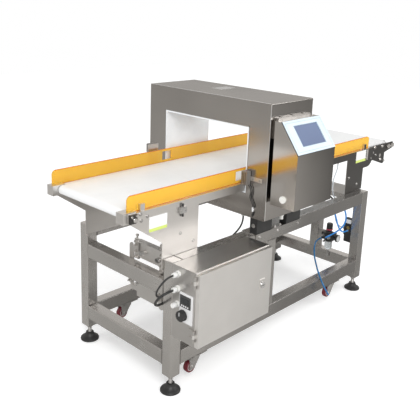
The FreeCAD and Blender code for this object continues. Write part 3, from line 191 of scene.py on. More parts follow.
def slab(shape, low, high):
    """Adds a box between two corners, in millimetres."""
    ends = (spot(*low), spot(*high))
    corners = [shape.verts.new((ends[i][0], ends[j][1], ends[k][2]))
               for i in (0, 1) for j in (0, 1) for k in (0, 1)]
    for a, b, c, d in ((0, 1, 3, 2), (4, 6, 7, 5), (0, 4, 5, 1), (2, 3, 7, 6), (0, 2, 6, 4), (1, 5, 7, 3)):
        shape.faces.new([corners[i] for i in (a, b, c, d)])


def piece(name, shape, material, body="machine_frame", stands_for=(), soft=0.0, rounds=2):
    """A finished piece from a bmesh: sharp edges rounded by soft millimetres, riding on its body."""
    bmesh.ops.recalc_face_normals(shape, faces=shape.faces)
    if soft:
        sharp = [edge for edge in shape.edges if edge.is_manifold and edge.calc_face_angle() > 0.6]
        bmesh.ops.bevel(shape, geom=sharp, offset=soft / metre, segments=rounds, profile=0.5,
                        affect="EDGES", clamp_overlap=True)
    for face in shape.faces:
        face.smooth = True
    mesh = bpy.data.meshes.new(name)
    shape.to_mesh(mesh)
    shape.free()
    mesh.set_sharp_from_angle(angle=math.radians(40))
    mesh.materials.append(material)
    made = bpy.data.objects.new(name, mesh)
    bpy.context.collection.objects.link(made)
    made.modifiers.new("flat_faces", "WEIGHTED_NORMAL").keep_sharp = True
    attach(made, body)
    if stands_for:
        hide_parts(*stands_for)
    return made


tube = 50
tube_round = 3.5
far_x, far_y = 1320, 518
leg_bottom, leg_top = 70, 541
low_rail, high_rail, rail_height = 112, 481, 60
bead_width = 4
bead_proud = 0.5
# Both tube steels get painted shade, darker on faces towards the operator past the search head.
tube_steel = brushed("tube_steel", 0.54, 0.26, front=0.45)
leg_steel = brushed("leg_steel", 0.58, 0.26, front=0.55, upright=True)
weld_steel = moulded("weld_steel", grey(0.3, 0.06), grey(0.5, 0.03), 0.4, grain=260, depth=0.0004,
                     metallic=1.0)
corners = [(x, y) for y in (0, far_y) for x in (0, far_x)]
legs = [((x, y, leg_bottom), (x + tube, y + tube, leg_top)) for x, y in corners]
posts = [((x, y, low_rail + rail_height), (x + tube, y + tube, high_rail))
         for x, y in ((558, 0), (558, far_y), (far_x, 245))]
long_rails = [((tube, y, z), (far_x, y + tube, z + rail_height))
              for y in (0, far_y) for z in (low_rail, high_rail)]
beams = [((x, tube, z), (x + tube, far_y, z + rail_height))
         for x, z in ((0, low_rail), (0, 396), (far_x, low_rail), (far_x, high_rail))]
uprights = bmesh.new()
for low, high in legs + posts:
    slab(uprights, low, high)
piece("upright_tubes", uprights, leg_steel, stands_for=["frame_uprights"],
      soft=tube_round, rounds=3)
rails = bmesh.new()
for low, high in long_rails + beams:
    slab(rails, low, high)
piece("rail_tubes", rails, tube_steel, stands_for=["frame_rails"],
      soft=tube_round, rounds=3)
beads = bmesh.new()
for way, tubes in ((0, long_rails), (1, beams), (2, posts)):
    for low, high in tubes:
        for end in (low[way], high[way] - bead_width):
            bead_low = [value - bead_proud for value in low]
            bead_high = [value + bead_proud for value in high]
            bead_low[way], bead_high[way] = end, end + bead_width
            slab(beads, bead_low, bead_high)
piece("weld_beads", beads, weld_steel, soft=1.2)


# Levelling feet: a black nylon cone on a rubber sole, turning on a zinc-plated threaded stem whose lock
# nut is run up against the leg's end plate.
AXES = {"x": ((0, 1, 0), (0, 0, 1), (1, 0, 0)), "y": ((0, 0, 1), (1, 0, 0), (0, 1, 0)),
        "z": ((1, 0, 0), (0, 1, 0), (0, 0, 1))}


def turned(shape, profile, at, axis="z", steps=36, sides=None):
    """Adds a profile of (radius, height) in millimetres turned about an axis through a point."""
    across, up, along = (Vector(v) for v in AXES[axis.strip("-")])
    if axis.startswith("-"):
        along = -along
        across, up = up, across
    count = sides or steps
    rings = []
    for radius, height in profile:
        middle = spot(*at) + along * height / metre
        if radius <= 0:
            rings.append([shape.verts.new(middle)])
            continue
        turn = [2 * math.pi * k / count for k in range(count)]
        rings.append([shape.verts.new(middle + (across * math.cos(a) + up * math.sin(a)) * radius / metre)
                      for a in turn])
    for low, high in zip(rings, rings[1:]):
        for k in range(count):
            following = (k + 1) % count
            corners = [low[k % len(low)], low[following % len(low)], high[following % len(high)],
                       high[k % len(high)]]
            shape.faces.new(list(dict.fromkeys(corners)))
    for ring, flip in ((rings[0], True), (rings[-1], False)):
        if len(ring) > 1:
            shape.faces.new(ring[::-1] if flip else ring)


def coat(node, material):
    """Gives a carried-over node this material in every slot."""
    for place in nodes[node].material_slots:
        place.material = material


foot_black = moulded("foot_black", grey(0.012), grey(0.03), 0.42)
zinc = moulded("zinc", grey(0.42, 0.02), grey(0.6, 0.02), 0.3, grain=300, metallic=1.0)
thread_pitch, thread_turns, thread_base = 3.0, 36, 30
thread_root, thread_crest, stem_top = 7.1, 7.9, 139
foot_places = [(x + tube // 2, y + tube // 2) for x, y in corners]
for number, (x, y) in enumerate(foot_places, 1):
    body = f"levelling_foot_{number}"
    cone = bmesh.new()
    turned(cone, [(37, 0), (39.4, 1.2), (39.9, 5), (38.6, 8), (33, 11.5), (25, 17), (19.5, 24), (17.2, 30),
                  (16.6, 33.6), (15.6, 34), (8.4, 34), (8.4, 30)], (x, y, 0), steps=64)
    piece(f"foot_cone_{number}", cone, foot_black, body, [body])
    stem = bmesh.new()
    threads = [(0, thread_base - 0.5)]
    for turn in range(thread_turns):
        base = thread_base + turn * thread_pitch
        threads += [(thread_root, base + 0.1), (thread_crest, base + 1.2),
                    (thread_crest, base + 1.8), (thread_root, base + 2.9)]
    threads += [(thread_root, stem_top), (0, stem_top + 0.5)]
    turned(stem, threads, (x, y, 0), steps=20)
    piece(f"foot_stem_{number}", stem, zinc, body)
coat("foot_nuts", zinc)

# Casters: a pressed zinc-plated fork on a swivel race, and a dark red polyurethane tyre moulded on a
# light hub. They hang clear of the floor while the machine stands on its feet.
tyre_red = moulded("tyre_red", (0.1, 0.008, 0.014, 1), (0.19, 0.016, 0.028, 1), 0.35)
hub_pale = moulded("hub_pale", grey(0.5, 0.02), grey(0.66, 0.02), 0.4)
caster_zinc = moulded("caster_zinc", grey(0.45, 0.02), grey(0.62, 0.02), 0.28, grain=200, metallic=1.0)
coat("caster_plates", caster_zinc)
caster_trail, half_wheel, axle_height = 28, 11, 63
caster_places = ((154, 25), (1120, 25), (232, 543), (1150, 543))
for number, (x, y) in enumerate(caster_places, 1):
    fork = f"caster_fork_{number}"
    wheel = f"caster_wheel_{number}"
    coat(fork, caster_zinc)
    axle = (x - caster_trail, y - half_wheel, axle_height)
    tyre = bmesh.new()
    turned(tyre, [(18, 1.2), (23.5, 0.4), (25.2, 1.6), (26, 4.5),
                  (26, 17.5), (25.2, 20.4), (23.5, 21.6), (18, 20.8)],
           axle, "y", 48)
    piece(f"caster_tyre_{number}", tyre, tyre_red, wheel, [wheel])
    hub = bmesh.new()
    turned(hub, [(4.1, 0.2), (7.5, 0.2), (7.5, 2.4), (14.5, 3.2), (16, 0.8), (18, 0.8),
                 (18, 21.2), (16, 21.2), (14.5, 18.8), (7.5, 19.6), (7.5, 21.8), (4.1, 21.8)], axle, "y", 48)
    spokes, spoke_circle = 5, 11
    for spoke in range(spokes):
        angle = 2 * math.pi * spoke / spokes
        middle = (axle[0] + spoke_circle * math.cos(angle), axle[1],
                  axle[2] + spoke_circle * math.sin(angle))
        turned(hub, [(0, 1.3), (2.1, 1.3), (2.1, 20.7), (0, 20.7)], middle, "y", 12)
    piece(f"caster_hub_{number}", hub, hub_pale, wheel)
    nuts = bmesh.new()
    for face, way in ((axle[1] - 4.1, "-y"), (axle[1] + 26.1, "y")):
        turned(nuts, [(0, 0), (6.4, 0), (6.4, 3.2), (5.6, 4), (0, 4)],
               (axle[0], face, axle[2]), way, sides=6)
    piece(f"caster_nuts_{number}", nuts, zinc, fork)

# Conveyor bed: stainless side plates, folded in along their top edge and bolted to cross webs and to the
# discharge end's thick blackened tension plates.
# The side plates' faces towards the operator get painted shade past the search head.
side_steel = brushed("side_steel", 0.76, 0.34, front=0.16)
dark_steel = brushed("dark_steel", 0.1, 0.3)
roller_steel = brushed("roller_steel", 0.66, 0.2)
for node in ("side_plate_front", "side_plate_back", "support_webs"):
    coat(node, side_steel)
coat("tension_plates", dark_steel)
coat("roller_bearings", side_steel)
for node in ("infeed_roller", "discharge_roller", "drive_roller", "snub_roller"):
    coat(node, roller_steel)
coat("drive_cover", side_steel)


def bolts(name, places, way, size, body="machine_frame", washer=True, steel=zinc):
    """Hexagon heads, or socket heads where size is under 4 mm, each on its washer, facing one way."""
    shape = bmesh.new()
    for place in places:
        if washer:
            turned(shape, [(0, 0), (size * 1.35, 0), (size * 1.35, 1), (0, 1)], place, way, 24)
        base = 1 if washer else 0
        edge, crown = base + size * 0.55, base + size * 0.7
        turned(shape, [(0, base), (size, base), (size, edge), (size * 0.86, crown), (0, crown)],
               place, way, sides=6 if size >= 4 else 20)
    return piece(name, shape, steel, body)


bolts("side_bolts", [(-112, 50, 738), (-108, 50, 714), (-81, 50, 724), (81, 50, 621), (150, 50, 575),
                     (1250, 50, 621), (1330, 50, 575), (1400, 50, 700)], "-y", 5.2)
bolts("side_bolts_back", [(-108, 518, 723), (-81, 518, 724), (81, 518, 621), (150, 518, 575),
                          (1230, 518, 621), (1345, 518, 552), (1400, 518, 690)], "y", 5.2)
bolts("tension_bolts", [(1475, 53, 716), (1505, 53, 700), (1655, 53, 725), (1600, 53, 655),
                        (1455, 53, 690)],
      "-y", 5.2)
bolts("tension_bolts_back", [(1475, 515, 716), (1655, 515, 725), (1640, 515, 712)], "y", 5.2)
bolts("tension_nuts", [(1490, 53, 742), (1568, 53, 738), (1560, 53, 668)], "-y", 6.5,
      steel=roller_steel)
bolts("web_bolts", [(171, 90, 565), (171, 478, 565)], "-x", 4.5)

# The discharge end's adjusting screws: a tapped block on each tension plate, and a long set screw that
# pushes the nose roller's shaft out to tighten the belt.
adjusters = bmesh.new()
for face, way in ((53, -1), (515, 1)):
    low, high = sorted((face, face + way * 10))
    slab(adjusters, (1615, low, 720), (1640, high, 742))
    slab(adjusters, (1652, low, 722), (1682, high, 742))
    turned(adjusters, [(0, 0), (3, 0), (3, 46), (0, 46)], (1622, face + way * 5, 731), "x", 14)
    turned(adjusters, [(0, 0), (5.5, 0), (5.5, 4), (0, 4)], (1611, face + way * 5, 731), "x", sides=6)
piece("belt_adjusters", adjusters, roller_steel, soft=0.8)

# Infeed nose blocks: a blackened steel block on each side plate holds the end of the nose shaft. Three
# hexagon screws fix it, and the bright shaft end shows between them.
nose_blocks = bmesh.new()
nose_ends = bmesh.new()
for inner, outer, outward in ((50, 41, "-y"), (518, 527, "y")):
    slab(nose_blocks, (-164, min(inner, outer), 713), (-132, max(inner, outer), 746))
    turned(nose_ends, [(0, 0), (8, 0), (8, 5), (7, 6), (0, 6)], (-146, outer, 727), outward, 24)
    for x, z in ((-137, 719), (-137, 740), (-158, 740)):
        turned(nose_ends, [(0, 0), (4.2, 0), (4.2, 3.4), (0, 3.4)], (x, outer, z), outward, sides=6)
piece("nose_blocks", nose_blocks, dark_steel, soft=1.5)
piece("nose_ends", nose_ends, roller_steel)

# Bare rating plates: blank white foil with a yellow-green strip along the lower edge, stuck to the front
# side plate at both ends.
def foil(where, normal):
    paper = where.noise(300, 2.0)
    height = where.part(2)
    along = where.part(0)
    strip = (height < 0.673) * (along < 0) + (height < 0.7) * (along > 0)
    face = strip.blend((0.8, 0.81, 0.8, 1), (0.6, 0.72, 0.14, 1))
    return {"Base Color": (paper * 0.15).blend(face, (0.6, 0.6, 0.58, 1)), "Roughness": paper * 0.2 + 0.25}


plates = bmesh.new()
slab(plates, (-72, 49.3, 661), (13, 50, 717))
slab(plates, (1303, 49.3, 687), (1398, 50, 745))
piece("rating_plates", plates, finish("foil", foil), soft=0.3)


# Belt: white food-grade polyurethane on fabric, run over the slider bed, with a faint weave, a fused
# splice across it, and darker towards both edges.
def belt_skin(where, normal):
    weave = where.stretched(1, 1, 1).noise(1400, 2.0)
    cloud = where.noise(6.0, 4.0, 0.6)
    # Darker towards both edges.
    edge = abs(where.part(1) - 0.0661).clipped(0.183, 0.19)
    splice = abs(where.part(0) + 0.46 - where.part(1) * 0.2).clipped(0.0016, 0.0004)
    mark = (edge * 0.35 + splice * 0.25 + cloud.clipped(0.45, 0.8) * 0.25)
    return {"Base Color": mark.blend((0.83, 0.84, 0.84, 1), (0.6, 0.61, 0.6, 1)),
            "Roughness": cloud * 0.2 + 0.32, "Normal": weave.bumped(0.00006, 0.4)}


coat("conveyor_belt", finish("belt_skin", belt_skin))
bed_white = moulded("bed_white", grey(0.72), grey(0.84), 0.35, grain=500)
coat("slider_bed", bed_white)

# Drive: a grey finned gear motor with a terminal box, under the far discharge end. It drives the roller
# by a black toothed belt, behind a sheet cover held by screws.
motor_grey = moulded("motor_grey", grey(0.22), grey(0.32), 0.45, grain=400)
alloy = moulded("alloy", grey(0.5, 0.01), grey(0.66, 0.01), 0.35, grain=300, metallic=1.0)
belt_black = moulded("belt_black", grey(0.012), grey(0.03), 0.55, grain=1500)
coat("motor_pulley", alloy)
coat("timing_belt", belt_black)
coat("drive_motor", alloy)
fins = bmesh.new()
fin_count, fin_pitch = 18, 6
for fin in range(fin_count):
    turned(fins, [(33, 0), (38, 0.4), (38, 2.6), (33, 3)], (1310, 330 + fin * fin_pitch, 620), "y", 48)
turned(fins, [(0, 0), (30, 0), (36.5, 4), (37.8, 12), (37.8, 22), (0, 22)], (1310, 305, 620), "y", 48)
piece("motor_fins", fins, motor_grey)
lid = bmesh.new()
slab(lid, (1243, 406, 596), (1248, 454, 644))
slab(lid, (1247, 404, 594), (1272, 456, 646))
piece("motor_terminal_lid", lid, motor_grey, soft=2.5)
bolts("gearbox_bolts", [(1278, 455, 588), (1342, 455, 588), (1278, 455, 652), (1342, 455, 652)], "-y", 3.4,
      washer=False)
bolts("cover_screws", [(1285, 550, 600), (1590, 550, 600), (1285, 550, 700), (1590, 550, 715)], "y", 3.6)

# Search head: a potted coil set in a folded, welded and brushed stainless case, standing on four black
# insulating blocks, with a white plastic liner through its aperture.
head_low, head_high = (438, -62, 610), (712, 630, 1084)
# The head's faces towards the operator get painted shade.
head_steel = brushed("head_steel", 0.46, 0.2, warm=0.05, front=0.5)
coat("head_case", head_steel)
liner_white = moulded("liner_white", (0.78, 0.8, 0.82, 1), (0.88, 0.9, 0.92, 1), 0.35, grain=600)
coat("aperture_liner", liner_white)
coat("search_coils", finish("copper_coils", lambda where, normal: {
    "Base Color": where.stretched(900, 40, 900).noise(1.0).blend((0.5, 0.22, 0.1, 1), (0.8, 0.4, 0.2, 1))},
    metallic=1.0, roughness=0.35))
coat("head_ledges", tube_steel)
block_black = moulded("block_black", grey(0.014), grey(0.035), 0.5, grain=500)
blocks = bmesh.new()
for x in (441, 640):
    for y in (-23, 553):
        slab(blocks, (x, y, 545), (x + 100, y + 38, 610))
piece("insulating_blocks", blocks, block_black, stands_for=["head_blocks"], soft=2)
bolts("block_bolts", [(441, -4, 577)], "-x", 6.5, washer=True)
bolts("ledge_bolts", [(460, -25, 530), (580, -25, 530), (720, -25, 530)], "-y", 5)
bolts("ledge_top_bolts", [(575, -10, 545), (610, -10, 545), (575, 576, 545), (610, 576, 545)],
      "z", 6)

# Head trim: a ground weld seam round the aperture, welded seams along the case's corners painted bright as
# highlights, and a blank grey patch stuck to the roof.
# Painted highlight: a steel much lighter than the case's, for the corner seams.
bright_steel = moulded("bright_steel", grey(0.7, 0.01), grey(0.86, 0.01), 0.3, grain=300, metallic=0.8)
trim = bmesh.new()
for x in (437.4, 712.0):
    for low, high in (((x, 40, 703), (x + 0.6, 43, 981)), ((x, 525, 703), (x + 0.6, 528, 981)),
                      ((x, 40, 978), (x + 0.6, 528, 981)), ((x, 40, 703), (x + 0.6, 528, 706))):
        slab(trim, low, high)
piece("aperture_seam", trim, weld_steel, soft=0.25)
# Painted highlight: bright strips along the case's corners, on its welded seams.
corner_welds_and_highlights = bmesh.new()
seam, seam_proud, seam_end = 1.6, 0.2, 4
near, far = head_low[1], head_high[1]
base, top = head_low[2] + seam_end, head_high[2] - seam_end
for low_x, high_x in ((437.7, head_low[0] + seam), (head_high[0] - seam, 712.3)):
    slab(corner_welds_and_highlights, (low_x, near + seam_end, head_high[2] - seam),
         (high_x, far - seam_end, head_high[2] + seam_proud))
    slab(corner_welds_and_highlights, (low_x, near - seam_proud, base), (high_x, near + seam, top))
    slab(corner_welds_and_highlights, (low_x, far - seam, base), (high_x, far + seam_proud, top))
piece("corner_welds_and_highlights", corner_welds_and_highlights, bright_steel, soft=0.2)
patch = bmesh.new()
slab(patch, (566, 313, 1084), (660, 371, 1084.5))
patch_grey = moulded("patch_grey", grey(0.5, 0.01), grey(0.62, 0.01), 0.35, grain=300, metallic=0.6)
piece("roof_patch", patch, patch_grey, soft=0.25)

# Sensor cables: two thin black leads from the near photoelectric sensor, laid down the head's infeed face
# and through a white ferrule.
lead_black = moulded("lead_black", grey(0.012), grey(0.03), 0.4, grain=1500)
for number, (offset, end) in enumerate(((0, 614), (9, 618)), 1):
    run = bpy.data.curves.new(f"sensor_lead_{number}", "CURVE")
    run.dimensions = "3D"
    run.bevel_depth = 0.0019
    run.bevel_resolution = 3
    line = run.splines.new("NURBS")
    points = [(430, 25 - offset, 750), (431, 24 - offset, 742), (433, 16 - offset, 735),
              (434, 13 - offset, 718), (434, 17 - offset, 704), (434, 16 - offset, 690),
              (434, 6 - offset, 676), (434, 0 - offset, 664),
              (434, -1 - offset / 3, 652), (434, -3 - offset / 3, 640), (435, -5 + offset / 2, 628),
              (438, 2 + offset / 2, end), (446, 6 + offset / 2, end - 3)]
    line.points.add(len(points) - 1)
    for point, place in zip(line.points, points):
        point.co = (*spot(*place), 1)
    line.order_u = 3
    line.use_endpoint_u = True
    run.materials.append(lead_black)
    lead = bpy.data.objects.new(f"sensor_lead_{number}", run)
    bpy.context.collection.objects.link(lead)
    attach(lead, "machine_frame")
ferrule = bmesh.new()
turned(ferrule, [(0, 0), (4.2, 0), (4.6, 2), (4.6, 14), (3.4, 18), (0, 18)], (434, -2, 640), "z", 20)
piece("lead_ferrule", ferrule, bed_white)

# Photoelectric sensors: grey moulded housings screwed behind stainless angle plates, one on the near side
# with dark grooves and a red lens, and its mate across the belt. They look through windows in the guards.
coat("photo_eyes", side_steel)
sensor_black = moulded("sensor_black", grey(0.02), grey(0.05), 0.35)
lens_red = finish("lens_red", lambda where, normal: {
    "Base Color": where.noise(200).blend((0.16, 0.01, 0.01, 1), (0.3, 0.02, 0.02, 1))}, roughness=0.12)
housing_grey = moulded("housing_grey", (0.2, 0.19, 0.18, 1), (0.34, 0.32, 0.3, 1), 0.35, metallic=0.6)
eyes = bmesh.new()
slab(eyes, (409.8, 19, 747.4), (436, 48, 804))
slab(eyes, (340, 521, 796), (377, 544, 834))
piece("sensor_housings", eyes, housing_grey, soft=1.5)
grooves = bmesh.new()
for y in (25, 33, 41):
    slab(grooves, (409.2, y, 753), (410, y + 2.2, 799))
piece("housing_grooves", grooves, sensor_black, soft=0.3)
lenses = bmesh.new()
turned(lenses, [(0, 0), (7, 0), (7, 1.6), (5.5, 2.4), (0, 2.4)], (423, 48, 782), "y", 24)
turned(lenses, [(0, 0), (4, 0), (4, 1), (0, 1)], (423, 33, 804), "z", 20)
piece("sensor_lenses", lenses, lens_red)
bolts("sensor_screws", [(435, -28, 773), (435, 5, 773)], "-x", 3.4)
bolts("mate_screws", [(336, 521, 715), (380, 521, 715)], "y", 3.4)


# Console: a folded and finely brushed stainless box with a slanted face, hung on a spacer in front of the
# head by three screws.
# The console's faces towards the operator are painted almost black, as shade.
console_steel = brushed("console_steel", 0.56, 0.15, warm=0.05, front=0.02)
hanger_steel = brushed("hanger_steel", 0.6, 0.3)
coat("console_case", console_steel)
coat("console_hanger", hanger_steel)
bolts("hanger_screws", [(500, -69, 1028), (573, -69, 1028), (647, -69, 1028)], "z", 3.4)

# Touch screen: a pale blue membrane frame round a recessed glass panel, let into the console's slanted
# face. The glass is blank and dark blue-grey, painted lighter towards its top as a reflection, with a thin
# printed line inside the frame's edge.
slant_start = Vector((0, -191, 903))
slant = Vector((0, 86, 116)).normalized()
slant_out = Vector((0, -116, 86)).normalized()


def on_slant(along, up, out):
    """A place on the console's slanted face, in millimetres from its lower infeed corner."""
    here = slant_start + slant * up + slant_out * out
    return (448.5 + along, here.y, here.z)


def slanted(shape, low, high):
    """Adds a box laid on the slanted face, between two corners there."""
    corners = [shape.verts.new(spot(*on_slant((low, high)[i][0], (low, high)[j][1], (low, high)[k][2])))
               for i in (0, 1) for j in (0, 1) for k in (0, 1)]
    for a, b, c, d in ((0, 1, 3, 2), (4, 6, 7, 5), (0, 4, 5, 1), (2, 3, 7, 6), (0, 2, 6, 4), (1, 5, 7, 3)):
        shape.faces.new([corners[i] for i in (a, b, c, d)])


screen_low, screen_high = (53, 31), (206, 118)
surround = bmesh.new()
for low, high in (((0, 1.2, 0), (250, screen_low[1], 4)), ((0, screen_high[1], 0), (250, 143.2, 4)),
                  ((0, screen_low[1], 0), (screen_low[0], screen_high[1], 4)),
                  ((screen_high[0], screen_low[1], 0), (250, screen_high[1], 4))):
    slanted(surround, low, high)
bezel_pale = moulded("bezel_pale", (0.56, 0.66, 0.74, 1), (0.66, 0.76, 0.82, 1), 0.3, grain=700)
piece("screen_surround", surround, bezel_pale, stands_for=["touch_screen"])


def glass_face(where, normal):
    cloud = where.noise(9.0, 3.0)
    # Painted reflection: the glass is painted lighter towards its top.
    painted_reflection = where.part(2).clipped(0.92, 1.02)
    return {"Base Color": (painted_reflection * 0.7 + cloud * 0.3).blend((0.085, 0.125, 0.24, 1), (0.13, 0.18, 0.31, 1)),
            "Roughness": cloud * 0.08 + 0.12}


glass = bmesh.new()
slanted(glass, (screen_low[0], screen_low[1], -2), (screen_high[0], screen_high[1], 2.2))
piece("screen_glass", glass, finish("glass_face", glass_face, coat_weight=0.6))
line_grey = moulded("line_grey", (0.22, 0.3, 0.38, 1), (0.3, 0.38, 0.46, 1), 0.4)
printed = bmesh.new()
for low, high in (((9, 10, 3.9), (241, 11, 4.15)), ((9, 133, 3.9), (241, 134, 4.15)),
                  ((9, 10, 3.9), (10, 134, 4.15)), ((240, 10, 3.9), (241, 134, 4.15))):
    slanted(printed, low, high)
for low, high in (((screen_low[0] - 2, screen_low[1] - 2, 3.9), (screen_high[0] + 2, screen_low[1], 4.3)),
                  ((screen_low[0] - 2, screen_high[1], 3.9), (screen_high[0] + 2, screen_high[1] + 2, 4.3)),
                  ((screen_low[0] - 2, screen_low[1], 3.9), (screen_low[0], screen_high[1], 4.3)),
                  ((screen_high[0], screen_low[1], 3.9), (screen_high[0] + 2, screen_high[1], 4.3))):
    slanted(printed, low, high)
piece("screen_lines", printed, line_grey)
edging = bmesh.new()
for low, high in (((-1, -0.4, 0), (251, 1.4, 2.2)), ((-1, 143, 0), (251, 144.2, 2.2)),
                  ((-1, 1.4, 0), (0.2, 143, 2.2)), ((249.8, 1.4, 0), (251, 143, 2.2))):
    slanted(edging, low, high)
piece("screen_gasket", edging, belt_black)

# Guards: 5 mm translucent orange acrylic with polished, redder edges, held off the side plates by small
# stainless stays.
def acrylic(where, normal):
    streak = where.stretched(2, 2, 12).noise(1.0, 2.0)
    height = where.part(2)
    rim = height.clipped(0.8035, 0.8068) + height.clipped(0.7505, 0.748)
    return {"Base Color": (rim * 0.8 + (streak - 0.5) * 0.3).clipped(0, 1).blend(
                (1.0, 0.62, 0.07, 1), (0.85, 0.13, 0.008, 1)),
            "Roughness": streak * 0.1 + 0.08}


orange = finish("orange_acrylic", acrylic, transmission_weight=0.5, ior=1.3, coat_weight=0.2)
coat("guard_front", orange)
coat("guard_back", orange)
stays = bmesh.new()
for x, y in ((-110, 53), (1380, 53), (-110, 504), (1090, 504)):
    slab(stays, (x, y, 747), (x + 20, y + 11, 773))
piece("guard_stays", stays, side_steel, stands_for=["guard_clamps"], soft=1)
bolts("stay_screws", [(-100, 69, 760), (1390, 69, 760)], "y", 3.2)
rod = bmesh.new()
turned(rod, [(0, 0), (4, 0), (4, 50), (0, 50)], (85, 44, 687), "z", 20)
piece("clamp_rod", rod, sensor_black)
stay_rod = bmesh.new()
turned(stay_rod, [(0, 0), (4.5, 0), (4.5, 54), (0, 54)], (1404, 45.6, 692), "z", 20)
piece("stay_rod", stay_rod, roller_steel)
clamp = bmesh.new()
slab(clamp, (69, 38, 700), (101, 50, 725))
piece("rod_clamp", clamp, alloy, soft=2)
bolts("clamp_screws", [(75, 38, 712), (95, 38, 712)], "-y", 3.4)


# Control cabinet: folded stainless box with a hinged tray door, a slotted quarter-turn lock in an
# escutcheon, and the electrics on a plate inside.
cabinet_steel = brushed("cabinet_steel", 0.56, 0.3)
# The door's face towards the operator gets painted shade towards the head.
door_steel = brushed("door_steel", 0.88, 0.42, warm=0.02, front=0.55)
coat("cabinet_body", cabinet_steel)
coat("cabinet_door", door_steel)
coat("cabinet_electrics", moulded("electrics_grey", grey(0.3), grey(0.5), 0.5, grain=300))
chrome = moulded("chrome", grey(0.6), grey(0.75), 0.15, grain=200, metallic=1.0)
coat("door_lock", chrome)
slot_cut = bmesh.new()
slab(slot_cut, (345, -142.6, 393.2), (357, -142.3, 395.8))
piece("lock_slot", slot_cut, sensor_black, "door_lock")
seal = bmesh.new()
for low, high in (((8, -118.5, 262), (396, -116, 268)), ((8, -118.5, 528), (396, -116, 534)),
                  ((8, -118.5, 268), (14, -116, 528)), ((390, -118.5, 268), (396, -116, 528))):
    slab(seal, low, high)
piece("door_seal", seal, belt_black, "cabinet_door")

# Speed panel: a moulded front with a dark display and printed frame above the knob, whose pointer is a
# white line.
panel_skin = moulded("panel_skin", grey(0.62), grey(0.74), 0.4)
panel = bmesh.new()
slab(panel, (-5, -107, 336), (0, -42, 449))
slab(panel, (0, -102, 341), (60, -47, 444))
piece("speed_panel_face", panel, panel_skin, stands_for=["speed_panel"], soft=1.2)
display = bmesh.new()
slab(display, (-7, -100, 395), (-4.6, -46, 441))
piece("speed_display", display, sensor_black, soft=1)
window = bmesh.new()
slab(window, (-7.3, -94, 410), (-6.8, -52, 432))
piece("display_window", window, finish("display_glass", lambda where, normal: {
    "Base Color": where.noise(60).blend((0.01, 0.012, 0.014, 1), (0.03, 0.034, 0.036, 1))},
    roughness=0.1), soft=0.2)
keys = bmesh.new()
for y in (-90, -80, -70, -60):
    slab(keys, (-7.6, y, 399), (-6.8, y + 6, 404))
piece("display_keys", keys, bed_white, soft=0.3)
knob = bmesh.new()
turned(knob, [(0, 0), (17, 0), (18.8, 1.6), (18.8, 15), (20.6, 16.5), (20.8, 20), (3, 20), (3, 28),
              (0, 28)],
       (-25.3, -63, 364), "x", 48)
knob_ribs = 16
for rib in range(knob_ribs):
    angle = 2 * math.pi * rib / knob_ribs
    turned(knob, [(0, 1.5), (1.5, 1.5), (1.5, 15.5), (0, 15.5)],
           (-25.3, -63 + 18.9 * math.cos(angle), 364 + 18.9 * math.sin(angle)), "x", 8)
piece("speed_knob_cap", knob, block_black, "speed_knob", ["speed_knob"])
pointer = bmesh.new()
slab(pointer, (-25.8, -64, 366), (-25.2, -62, 381))
piece("knob_pointer", pointer, bed_white, "speed_knob")
coat("cable_fittings", moulded("nylon", (0.72, 0.72, 0.69, 1), (0.84, 0.84, 0.8, 1), 0.35))
ribs = bmesh.new()
for height in (512, 455, 395):
    turned(ribs, [(11.4, 0), (12.2, 1), (12.2, 10.6), (11.4, 11.6)], (-12, -30, height), "x", sides=6)
    turned(ribs, [(9, 0), (9.6, 1), (9.6, 7), (9, 8)], (-26, -30, height), "x", 24)
piece("gland_nuts", ribs, bed_white)

# Compressed air: filter regulator with a black knob over a pink locking ring, a clear bowl and a white
# faced gauge, a black solenoid valve with brass ports, and plated push-in fittings.
unit_black = moulded("unit_black", grey(0.014), grey(0.04), 0.4)
brass = moulded("brass", (0.52, 0.36, 0.12, 1), (0.72, 0.52, 0.2, 1), 0.28, grain=300, metallic=1.0)
bowl_clear = finish("bowl_clear", lambda where, normal: {
    "Base Color": where.noise(40).blend((0.72, 0.76, 0.78, 1), (0.86, 0.9, 0.92, 1)),
    "Roughness": where.noise(80) * 0.2 + 0.08}, transmission_weight=0.75, ior=1.45)
pink = moulded("pink_ring", (0.6, 0.06, 0.1, 1), (0.75, 0.1, 0.16, 1), 0.35)
unit = bmesh.new()
slab(unit, (1287, 136, 244), (1333, 203, 283))
turned(unit, [(0, 0), (21, 0), (21, 6), (18, 10), (0, 10)], (1310, 169.5, 234), "z", 40)
turned(unit, [(0, 0), (18.5, 0), (18.5, 4), (15, 8), (0, 10)], (1310, 169.5, 282), "z", 40)
piece("regulator_body", unit, unit_black, stands_for=["air_regulator"], soft=2)
arm = bmesh.new()
slab(arm, (1322, 203, 246), (1335, 245, 280))
piece("regulator_arm", arm, zinc, soft=1)
bowl = bmesh.new()
turned(bowl, [(4, 0), (13, 0.8), (17.5, 6), (19.6, 14), (19.9, 48), (4, 48)], (1310, 169.5, 188), "z", 40)
piece("regulator_bowl", bowl, bowl_clear)
fittings = bmesh.new()
turned(fittings, [(0, 0), (3.9, 0), (3.9, 30), (5.5, 31), (5.5, 40), (3.5, 45), (0, 45)],
       (1310, 169.5, 143.5), "z", 20)
turned(fittings, [(4.5, 0), (7, 0.5), (7, 7), (6, 10), (4.5, 10)], (1275, 196, 250), "x", 24)
turned(fittings, [(4.2, 0), (6, 0.5), (6, 6), (5, 8), (4.2, 8)], (1277, 154, 272), "x", 24)
turned(fittings, [(4.2, 0), (6, 0.5), (6, 6), (5, 8), (4.2, 8)], (1323, 70, 316), "x", 24)
turned(fittings, [(5, 0), (5, 6), (6, 7.5), (3.4, 8)], (1346, 100, 316), "y", 24)
